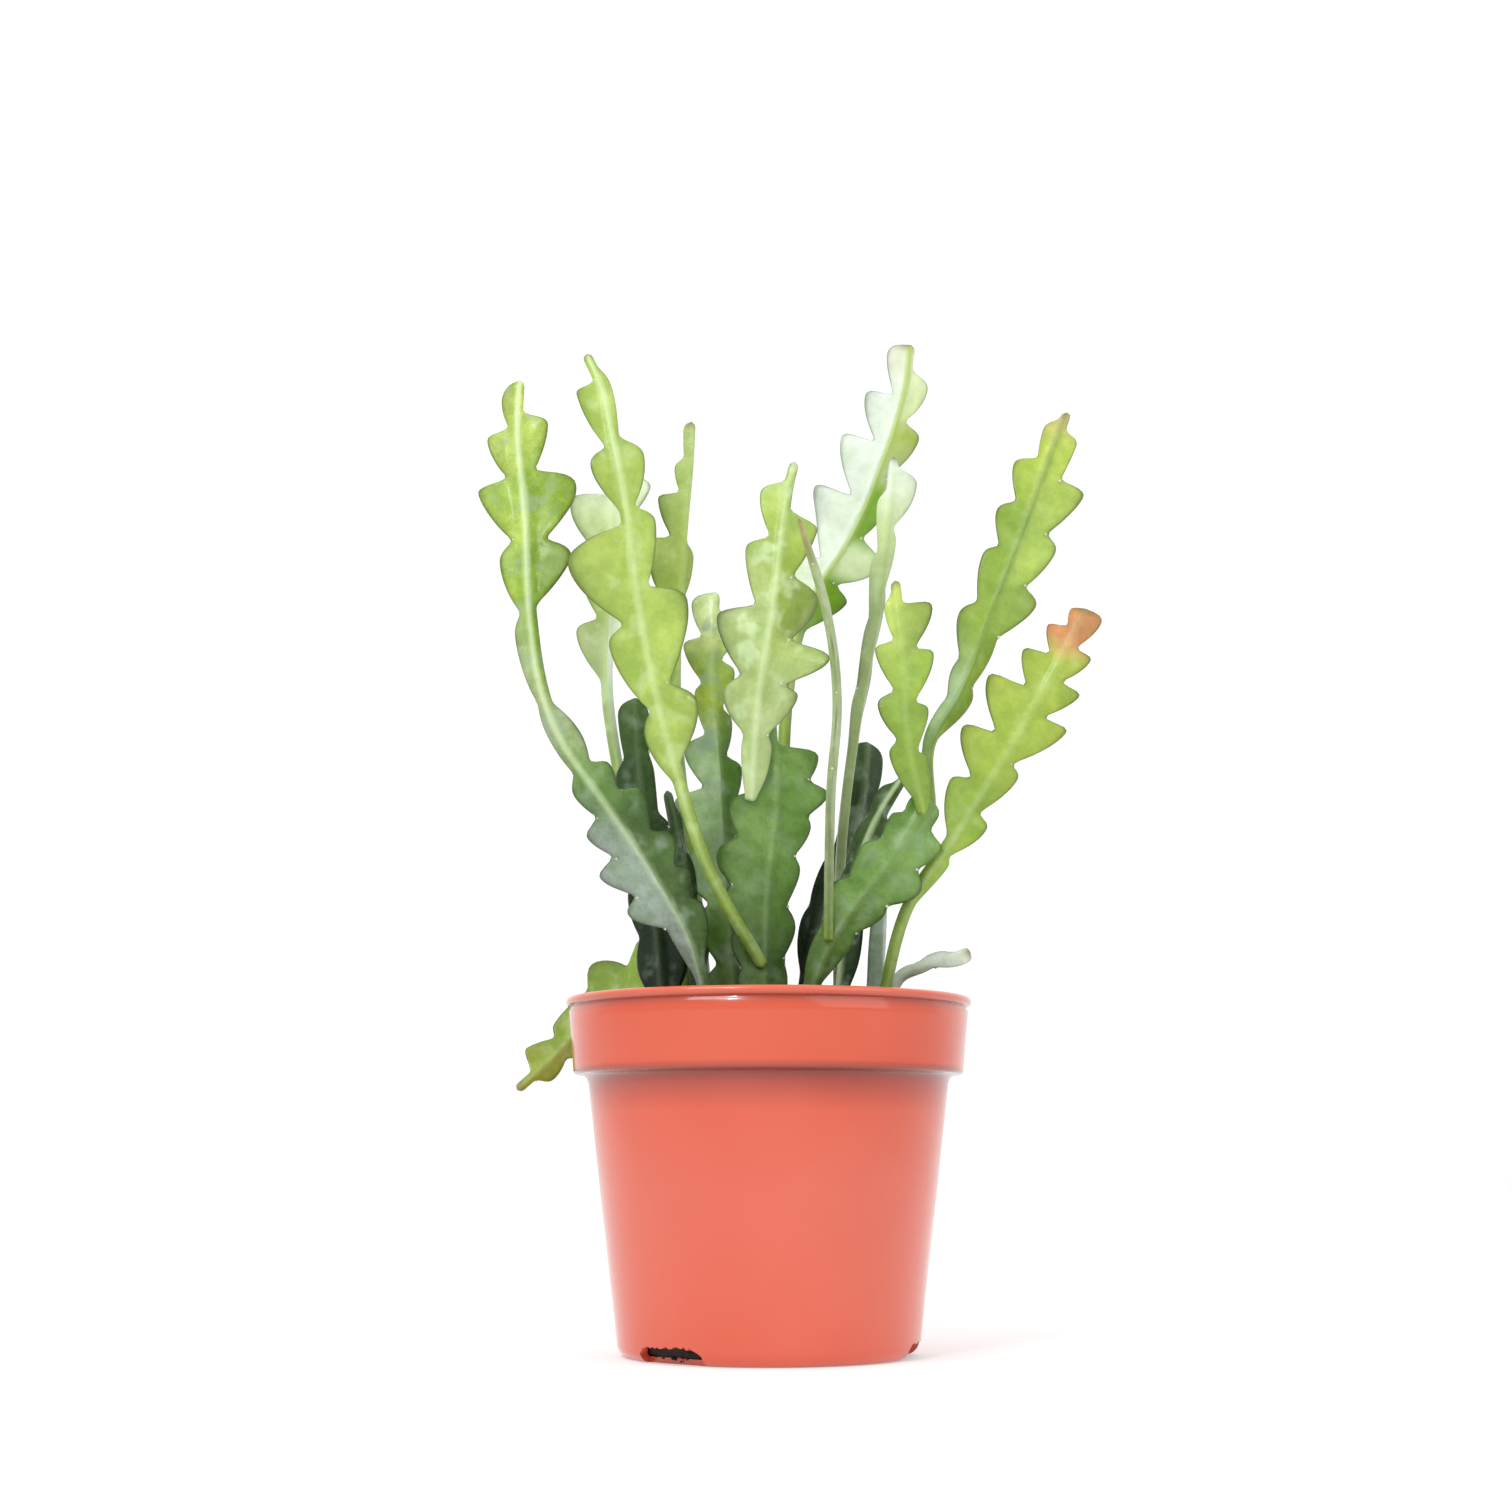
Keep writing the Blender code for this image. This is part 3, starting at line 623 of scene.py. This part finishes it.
class Build:
    """Collects the points, faces and point values of one mesh."""

    def __init__(self):
        self.points = []
        self.faces = []
        self.tints = []
        self.across = []
        self.rib = []

    def add(self, points, faces, tints, across, rib):
        """Add a closed shape; its points are in millimetres."""
        first = len(self.points)
        self.points += [point * MM for point in points]
        self.faces += [[first + corner for corner in face] for face in faces]
        self.tints += tints
        self.across += across
        self.rib += rib

    def add_plain(self, points, faces, tint):
        """Add a closed shape of one colour."""
        count = len(points)
        self.add(points, faces, [tint] * count, [0.5] * count, [0.0] * count)

    def add_lump(self, centre, size, tint, rough, dice, around=6, rings=3):
        """Add a small rounded lump: size holds its three half widths, rough how uneven it is."""
        points = [centre + Vector((0, 0, -size[2]))]
        for ring in range(1, rings + 1):
            height = math.pi * ring / (rings + 1)
            for corner in range(around):
                turn = 2 * math.pi * corner / around
                grow = 1.0 + dice.uniform(-rough, rough)
                points.append(centre + grow * Vector((
                    size[0] * math.sin(height) * math.cos(turn),
                    size[1] * math.sin(height) * math.sin(turn),
                    -size[2] * math.cos(height))))
        points.append(centre + Vector((0, 0, size[2])))
        top = len(points) - 1
        faces = []
        for corner in range(around):
            following = (corner + 1) % around
            faces.append([0, 1 + following, 1 + corner])
            for ring in range(rings - 1):
                low = 1 + ring * around
                faces.append([low + corner, low + following,
                              low + around + following, low + around + corner])
            faces.append([top, top - around + corner, top - around + following])
        self.add_plain(points, faces, tint)

    def add_bristle(self, foot, tip, width, tint):
        """Add a thin three-sided spike."""
        along = (tip - foot).normalized()
        side = along.orthogonal().normalized()
        points = []
        for corner in range(3):
            turn = 2 * math.pi * corner / 3
            points.append(foot + width * (side * math.cos(turn)
                                          + along.cross(side) * math.sin(turn)))
        points.append(tip)
        self.add_plain(points, [[2, 1, 0], [0, 1, 3], [1, 2, 3], [2, 0, 3]], tint)

    def make(self, name, material):
        """The finished object, with its point values as attributes."""
        mesh = bpy.data.meshes.new(name)
        mesh.from_pydata(self.points, [], self.faces)
        mesh.shade_smooth()
        for key, values in (("across", self.across), ("rib", self.rib)):
            mesh.attributes.new(key, "FLOAT", "POINT").data.foreach_set("value", values)
        tint = mesh.attributes.new("tint", "FLOAT_COLOR", "POINT")
        tint.data.foreach_set("color", [value for tone in self.tints for value in (*tone, 1.0)])
        mesh.materials.append(material)
        return add_object(name, mesh)


def add_areoles(build, frames, spacing, wings, stem, dice):
    """A woolly tuft with short bristles in every notch of both wings."""
    for sign, lean, (_, notches) in zip((-1, 1), stem.lean, wings):
        for distance, reach in notches:
            number = min(round(distance / spacing), len(frames) - 1)
            centre, along, side, front = frames[number]
            out = side * sign + along * lean
            place = centre + out * (reach + AREOLE_LIFT)
            size = AREOLE_SIZE * dice.uniform(0.8, 1.2)
            build.add_lump(place, (size, size, size), WOOL, 0.15, dice)
            for _ in range(BRISTLES):
                aim = out * dice.uniform(0.5, 1.0) + along * dice.uniform(0.2, 0.9)
                aim += front * dice.uniform(-0.5, 0.5)
                tip = place + aim.normalized() * BRISTLE_LENGTH * dice.uniform(0.5, 1.0)
                build.add_bristle(place, tip, BRISTLE_WIDTH, WOOL)


def tip_scales(from_tip):
    """How much of its width and of its thickness a stem has at a distance from its tip."""
    rounding = 1.0
    if from_tip < TIP_ROUND:
        rounding = math.sqrt(max(0.0, 1 - (1 - from_tip / TIP_ROUND) ** 2))
    return max(rounding, TIP_BLUNT), min(1.0, TIP_THIN + from_tip / THICKEN_LENGTH)


def tube_faces(around, sections):
    """The faces of a closed tube of sections, each a ring of points, with both its ends."""
    last = (sections - 1) * around
    faces = [list(range(around - 1, -1, -1))]
    for lower in range(0, last, around):
        for corner in range(around):
            following = (corner + 1) % around
            faces.append([lower + corner, lower + following,
                          lower + around + following, lower + around + corner])
    faces.append([last + corner for corner in range(around)])
    return faces


def build_stem(name, stem, material, dice):
    """One stem: a ridged midrib with two wavy wings, each lobe a little cupped."""
    shape = stem.shape
    frames, spacing, sink = stem_frames(stem)
    length = (len(frames) - 1) * spacing
    wings = []
    for lobes in (stem.left, stem.right):
        moved = [(distance + sink, reach) for distance, reach in lobes]
        wings.append(wing_keys(moved, shape, length))
    reaches = [soft_reaches(keys, len(frames), spacing) for keys, _ in wings]
    moods = [lobe_moods(notches, dice) for _, notches in wings]
    seed = Vector(stem.path[0])
    _, base_rib, tip_rib = stem.rib
    rings = []
    for number, (centre, along, side, front) in enumerate(frames):
        distance = number * spacing
        from_tip = length - distance
        rounding, thin = tip_scales(from_tip)
        dry = 0.0 if stem.slot == "old_stem" else max(0.0, 1 - from_tip / DRY_LENGTH)
        halves = []
        for sign, reaches_here, (_, notches), own, fold, lean in zip(
                (-1, 1), reaches, wings, moods, stem.fold, stem.lean):
            reach = reaches_here[number] * rounding
            vein = sum(math.exp(-((distance - notch) / VEIN_WIDTH) ** 2) for notch, _ in notches)
            bend = math.tan(math.radians(fold))
            wave = noise_field.noise((seed + Vector((distance, 40 * sign, 0))) * WAVE_SCALE)
            light, painted_edge_shade, own_bend = mood_at(own, notches, distance)
            tone = tone_at(stem.tones, distance / length, 1 if sign < 0 else -1)
            half = []
            for share in ACROSS:
                out = reach * share
                body = shape.web * math.sqrt(max(0.0, 1 - share ** 6))
                ridge = shape.rib * math.exp(-(out / RIDGE_WIDTH) ** 2)
                ridge *= math.sqrt(max(0.0, 1 - share ** 2))
                line = VEIN_HEIGHT * vein * share * (1 - share ** 4)
                thick = (body + ridge + line) * rounding * thin
                lift = out * bend * min(1.0, out / FOLD_START)
                lift += (wave + OWN_BEND * own_bend) * shape.wave * (out / WAVE_REACH) ** 2
                ripple = RIPPLE * math.sin(distance * RIPPLE_RATE + sign)
                lift += ripple * (out / RIPPLE_REACH) ** 2
                place = centre + side * (sign * out) + along * (lean * out) + front * lift
                pale = math.exp(-(out / RIB_BAND) ** 4) * math.exp(-(share / RIB_SHARE) ** 4)
                pale *= base_rib + (tip_rib - base_rib) * distance / length
                # painted shade: each lobe lighter or darker as if turned differently to the light, and
                # darker towards its edge
                shade = (1 + (light - 1) * min(1.0, 2 * share)) * (1 - painted_edge_shade * share ** 6)
                colour = [value * shade * (1 - dry) + brown * dry
                          for value, brown in zip(tone, DRY_TIP)]
                half.append((place, thick, share * min(1.0, reach / EDGE_REACH), pale, colour))
            halves.append(half)
        left, right = halves
        row = list(reversed(left)) + right[1:]
        ring = [(place + front * thick, *rest) for place, thick, *rest in row]
        ring += [(place - front * thick, *rest) for place, thick, *rest in reversed(row[1:-1])]
        rings += ring
    points, across, ribs, tints = (list(values) for values in zip(*rings))
    build = Build()
    build.add(points, tube_faces(len(ring), len(frames)), tints, across, ribs)
    add_areoles(build, frames, spacing, wings, stem, dice)
    finish_piece(build.make(f"{name}_skin", material), stem.slot, name)


def make_stem_material(name, stem):
    """Waxy succulent skin: the stem's tint with painted lobe shade, mottling, painted pale glints,
    midrib, a darker edge that is partly painted shade, and fine cells.
    """
    shader = Shader(name)
    old = stem.slot == "old_stem"
    base = shader.attribute("tint", "Color")
    for scale, low, high in MOTTLES:
        shade = shader.mix(shader.fit(shader.noise(scale), 0.35, 0.65), low, high)
        base = shader.mix(MOTTLING[stem.slot], base, shade, blend="MULTIPLY")
    across = shader.attribute("across")
    # painted glints: pale patches that stand in for highlights, kept off the wing's edge
    painted_glints = shader.fit(shader.noise(130, detail=2), 0.50, 0.68, 0.0, stem.sheen)
    painted_glints = shader.math("MULTIPLY", painted_glints, shader.fit(across, 0.95, 0.6))
    base = shader.mix(painted_glints, base, OLD_PAINTED_SHEEN if old else YOUNG_PAINTED_SHEEN)
    base = shader.mix(shader.attribute("rib"), base, stem.rib[0])
    # darker rim on every wing: partly the margin's own darker colour, partly painted shade on the curled
    # edge
    edge = shader.fit(across, 0.88, 1.0, 0.0, 0.75)
    base = shader.mix(edge, base, shader.mix(1.0, base, EDGE_SHADE, blend="MULTIPLY"))
    shader.colour(base)
    roughness = 0.28 if old else 0.36
    shader.rough(shader.fit(shader.noise(260), 0.3, 0.7, roughness - 0.06, roughness + 0.08))
    shader.set(Subsurface_Weight=0.12, Subsurface_Radius=(0.9, 1.0, 0.3), Subsurface_Scale=0.0012,
               Specular_IOR_Level=0.20 if old else 0.35, Coat_Weight=0.12, Coat_Roughness=0.15)
    swell = shader.bump(shader.noise(200, detail=2), 0.0009, 0.6)
    shader.bump(shader.cells(2300), 0.00010, 0.5, under=swell)
    return shader.material


def make_stems(dice):
    """Every stem, each with its own material."""
    for name, stem in STEMS.items():
        material = make_stem_material(f"{name}_green", stem)
        build_stem(name, stem, material, dice)


# -------- pot and soil

def turned(profile, steps, shift):
    """The points and faces of a turned solid; its profile starts and ends on the axis.

    shift moves each point: it takes the radius, the height and the angle.
    """
    inner = profile[1:-1]
    points = [Vector((0, 0, profile[0][1]))]
    for radius, height in inner:
        for step in range(steps):
            turn = 2 * math.pi * step / steps
            points.append(shift(radius, height, turn))
    points.append(Vector((0, 0, profile[-1][1])))
    end = len(points) - 1
    faces = []
    for step in range(steps):
        following = (step + 1) % steps
        faces.append([0, 1 + step, 1 + following])
        for ring in range(len(inner) - 1):
            low = 1 + ring * steps
            faces.append([low + step, low + steps + step,
                          low + steps + following, low + following])
        faces.append([end, end - steps + following, end - steps + step])
    return points, faces


def arc(centre_radius, centre_z, radius, start, stop, steps):
    """Points on an arc in the profile plane; angles in degrees, 0 points outwards."""
    points = []
    for step in range(steps + 1):
        angle = math.radians(start + (stop - start) * step / steps)
        points.append((centre_radius + radius * math.cos(angle),
                       centre_z + radius * math.sin(angle)))
    return points


def fine_line(profile, spacing):
    """The profile with long straight stretches cut into shorter ones."""
    line = [profile[0]]
    for (r0, z0), (r1, z1) in zip(profile, profile[1:]):
        count = max(1, round(math.hypot(r1 - r0, z1 - z0) / spacing))
        line += [(r0 + (r1 - r0) * k / count, z0 + (z1 - z0) * k / count)
                 for k in range(1, count + 1)]
    return line


def pot_shift(radius, height, turn):
    """A point of the pot. Moulded plastic is never quite round, least of all at the rim."""
    high = max(0.0, (height - BODY_TOP_Z) / (POT_HEIGHT - BODY_TOP_Z))
    swell = RIM_WAVE * high * math.sin(3 * turn + 0.8) + BODY_WAVE * math.sin(2 * turn)
    return Vector(((radius + swell) * math.cos(turn), (radius + swell) * math.sin(turn), height))


def slot_cutter(angle, dice):
    """A block with a torn upper edge, for one drain slot."""
    around = math.radians(angle)
    outward = Vector((math.sin(around), -math.cos(around), 0))
    sideways = Vector((math.cos(around), math.sin(around), 0))
    top = []
    for step in range(SLOT_TEETH + 1):
        share = step / SLOT_TEETH
        end = 1 - abs(2 * share - 1) ** 8
        height = SLOT_HEIGHT * (0.55 + 0.45 * end) + dice.uniform(*TEAR) * end
        top.append(((share - 0.5) * SLOT_LENGTH, height))
    outline = [(-SLOT_LENGTH / 2, CUTTER_FOOT), *top, (SLOT_LENGTH / 2, CUTTER_FOOT)]
    points = []
    for reach in (SLOT_INNER_REACH, SLOT_OUTER_REACH):
        points += [outward * reach + sideways * x + Vector((0, 0, z)) for x, z in outline]
    count = len(outline)
    faces = [list(range(count)), list(range(2 * count - 1, count - 1, -1))]
    for corner in range(count):
        following = (corner + 1) % count
        faces.append([following, corner, count + corner, count + following])
    mesh = bpy.data.meshes.new("slot_cutter")
    mesh.from_pydata([point * MM for point in points], [], faces)
    return add_object("slot_cutter", mesh)


def make_plastic():
    """Glossy moulded plastic, a little lighter on the body than on the collar, with painted shade under
    the collar and below the lip and a painted highlight on the lip's top.
    """
    shader = Shader("moulded_plastic")
    split = shader.nodes.new("ShaderNodeSeparateXYZ")
    shader.link(shader.place, split.inputs["Vector"])
    base = shader.ramp(shader.math("MULTIPLY", split.outputs["Z"], 1 / PLASTIC_TOP), *PLASTIC_AND_PAINTED_SHADING)
    cloud = shader.fit(shader.noise(22, detail=2), 0.35, 0.65)
    base = shader.mix(shader.math("MULTIPLY", cloud, 0.07), base, PLASTIC_CLOUD)
    shader.colour(base)
    shader.rough(shader.fit(shader.noise(40, detail=4), 0.3, 0.7, 0.14, 0.24))
    shader.set(Specular_IOR_Level=0.50, Coat_Weight=0.50, Coat_Roughness=0.06, Coat_IOR=1.6)
    swell = shader.bump(shader.noise(35, detail=1), 0.0003, 0.15)
    shader.bump(shader.noise(300, detail=2), 0.00001, 0.5, under=swell)
    return shader.material


def make_pot(dice):
    """The moulded pot: rolled lip, groove, collar, step, tapered body and torn drain slots."""
    corner = arc(BODY_FOOT_RADIUS - CORNER_RADIUS, CORNER_RADIUS, CORNER_RADIUS, 0, -90, 8)
    lip_z = POT_HEIGHT - LIP_BEAD
    outside = [
        *arc(LIP_RADIUS - LIP_BEAD, lip_z, LIP_BEAD, 100, -70, 10),
        (COLLAR_TOP_RADIUS - 0.5, POT_HEIGHT - 2.9),
        (COLLAR_TOP_RADIUS - 0.4, POT_HEIGHT - 3.4),
        (COLLAR_TOP_RADIUS, POT_HEIGHT - 4.0),
        (COLLAR_FOOT_RADIUS, COLLAR_FOOT_Z + 1.4),
        *arc(COLLAR_FOOT_RADIUS - 1.2, COLLAR_FOOT_Z + 1.2, 1.2, 0, -90, 5),
        (BODY_TOP_RADIUS + 1.6, COLLAR_FOOT_Z - 0.2),
        (BODY_TOP_RADIUS + 0.5, COLLAR_FOOT_Z - 1.1),
        (BODY_TOP_RADIUS, BODY_TOP_Z),
        *corner,
    ]
    inside = [
        (BODY_FOOT_RADIUS - CORNER_RADIUS, FLOOR),
        (BODY_FOOT_RADIUS - WALL, CORNER_RADIUS + FLOOR),
        (BODY_TOP_RADIUS - WALL, BODY_TOP_Z),
        (COLLAR_FOOT_RADIUS - WALL, COLLAR_FOOT_Z + WALL),
        (COLLAR_TOP_RADIUS - WALL, POT_HEIGHT - 1.0),
        (COLLAR_TOP_RADIUS - WALL + 0.5, POT_HEIGHT - 0.1),
    ]
    profile = fine_line([(0, FLOOR), *inside, *outside, (0, 0)], 3.0)
    points, faces = turned(profile, TURN_STEPS, pot_shift)
    mesh = bpy.data.meshes.new("pot_shell")
    mesh.from_pydata([point * MM for point in points], [], faces)
    pot = add_object("pot_shell", mesh)
    cutters = [slot_cutter(angle, dice) for angle in SLOT_ANGLES]
    for cutter in cutters:
        boolean = pot.modifiers.new(cutter.name, "BOOLEAN")
        boolean.operation = "DIFFERENCE"
        boolean.solver = "EXACT"
        boolean.object = cutter
    shaped = pot.evaluated_get(bpy.context.evaluated_depsgraph_get())
    pot.data = bpy.data.meshes.new_from_object(shaped)
    pot.modifiers.clear()
    for cutter in cutters:
        bpy.data.objects.remove(cutter)
    pot.data.name = "pot_shell"
    pot.data.shade_smooth()
    pot.data.set_sharp_from_angle(angle=math.radians(50))
    pot.data.materials.append(make_plastic())
    finish_piece(pot, "pot_plastic", "pot")


def soil_shift(radius, height, turn):
    """Crumbly soil: small hills and pits on the top, slight dents at the side."""
    place = Vector((radius * math.cos(turn), radius * math.sin(turn), height))
    rough = noise_field.noise(place * 0.16) * 1.1 + noise_field.noise(place * 0.45) * 0.8
    rough += noise_field.noise(place * 1.1) * 0.35
    if height > SOIL_Z - 1.5:
        return place + Vector((0, 0, rough))
    return place * (1 - 0.004 * abs(rough))


def make_soil(dice):
    """The soil, with bark chips, crumbs and white perlite on its top and behind the slots."""
    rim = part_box("soil")[1][0] / MM
    top = [(0, SOIL_Z + 1.5), (rim * 0.5, SOIL_Z + 1.0), (rim - 1.2, SOIL_Z),
           (rim - 0.3, SOIL_Z - 1.2)]
    wall = [(COLLAR_FOOT_RADIUS - WALL - SOIL_GAP, COLLAR_FOOT_Z + 2),
            (BODY_TOP_RADIUS - WALL - SOIL_GAP, BODY_TOP_Z),
            (BODY_FOOT_RADIUS - WALL - SOIL_GAP, CORNER_RADIUS + 2.2),
            (BODY_FOOT_RADIUS - CORNER_RADIUS - SOIL_GAP, FLOOR + SOIL_GAP)]
    profile = fine_line([*top, *wall, (0, FLOOR + SOIL_GAP)], 1.5)
    points, faces = turned(profile, SOIL_STEPS, soil_shift)
    build = Build()
    build.add_plain(points, [face[::-1] for face in faces], SOIL_BROWN)
    for _ in range(TOP_CHIPS):
        radius = (rim - 2.0) * math.sqrt(dice.random())
        turn = dice.uniform(0, 2 * math.pi)
        place = soil_shift(radius, SOIL_Z + 1.2 * (1 - radius / rim), turn)
        tint = dice.choice(SOIL_TINTS)
        size = dice.uniform(0.5, 1.3)
        flat = [size * dice.uniform(0.6, 1.7), size * dice.uniform(0.6, 1.7), size * 0.6]
        build.add_lump(place, flat, tint, 0.25, dice)
    for angle in SLOT_ANGLES:
        for _ in range(SLOT_CRUMBS):
            turn = math.radians(angle - 90) + dice.uniform(-0.27, 0.27)
            radius = BODY_FOOT_RADIUS - dice.uniform(2.0, 3.6)
            height = dice.uniform(0.5, 6.5)
            radius -= max(0.0, 5.0 - height) * 0.6
            place = Vector((radius * math.cos(turn), radius * math.sin(turn), height))
            size = dice.uniform(0.25, 0.7)
            build.add_lump(place, (size, size, size * 0.8), dice.choice(SOIL_TINTS), 0.25, dice)
    shader = Shader("potting_mix")
    tint = shader.attribute("tint", "Color")
    grain = shader.fit(shader.noise(700, detail=6), 0.3, 0.7)
    shader.colour(shader.mix(grain, shader.mix(0.6, tint, SOIL_PITS), tint))
    shader.rough(shader.fit(shader.noise(400), 0.3, 0.7, 0.80, 0.98))
    shader.bump(shader.noise(900, detail=6), 0.0012, 1.0)
    finish_piece(build.make("soil_bed", shader.material), "potting_soil", "soil")


# -------- floor, light, camera

def make_studio():
    """A plain pale floor, a white backdrop, a dimmer room and soft lights."""
    bpy.ops.mesh.primitive_circle_add(vertices=96, radius=FLOOR_RADIUS, fill_type="NGON")
    floor = bpy.context.object
    floor.name = "floor"
    shader = Shader("pale_floor")
    shader.colour(shader.ramp(shader.noise(3),
                              (0.3, (0.70, 0.70, 0.70)), (0.7, (0.72, 0.72, 0.72))))
    shader.set(Roughness=0.9, Emission_Color=(1, 1, 1, 1), Emission_Strength=FLOOR_GLOW)
    floor.data.materials.append(shader.material)

    world = bpy.data.worlds.new("studio")
    world.use_nodes = True
    nodes = world.node_tree.nodes
    links = world.node_tree.links
    split = nodes.new("ShaderNodeSeparateXYZ")
    bright = nodes.new("ShaderNodeMapRange")
    bright.inputs["From Min"].default_value = BACKDROP_EDGE - BACKDROP_BLUR
    bright.inputs["From Max"].default_value = BACKDROP_EDGE
    bright.inputs["To Min"].default_value = ROOM_LIGHT
    bright.inputs["To Max"].default_value = BACKDROP_LIGHT
    links.new(nodes.new("ShaderNodeTexCoord").outputs["Generated"], split.inputs["Vector"])
    links.new(split.outputs["Y"], bright.inputs["Value"])
    links.new(bright.outputs["Result"], nodes["Background"].inputs["Strength"])
    nodes["Background"].inputs["Color"].default_value = (1, 1, 1, 1)
    bpy.context.scene.world = world

    for name, place, size, power in LIGHTS:
        data = bpy.data.lights.new(name, "AREA")
        data.size = size
        data.energy = power
        light = bpy.data.objects.new(name, data)
        light.location = place
        aim = Vector(LIGHT_TARGET) - Vector(place)
        light.rotation_euler = aim.to_track_quat("-Z", "Y").to_euler()
        bpy.context.scene.collection.objects.link(light)


def make_camera():
    """The camera, lower than the stems and tilted up at them."""
    data = bpy.data.cameras.new("camera")
    data.sensor_width = SENSOR
    data.lens = CAMERA_LENS
    data.clip_start = 0.01
    camera = bpy.data.objects.new("camera", data)
    camera.location = (0, -CAMERA_DISTANCE, CAMERA_HEIGHT)
    camera.rotation_euler = (math.pi / 2 + CAMERA_TILT, 0, CAMERA_TURN)
    bpy.context.scene.collection.objects.link(camera)
    bpy.context.scene.camera = camera


make_studio()
make_camera()
dice = random.Random(7)
make_pot(dice)
make_soil(dice)
make_stems(dice)
bpy.context.scene.view_settings.view_transform = "Standard"
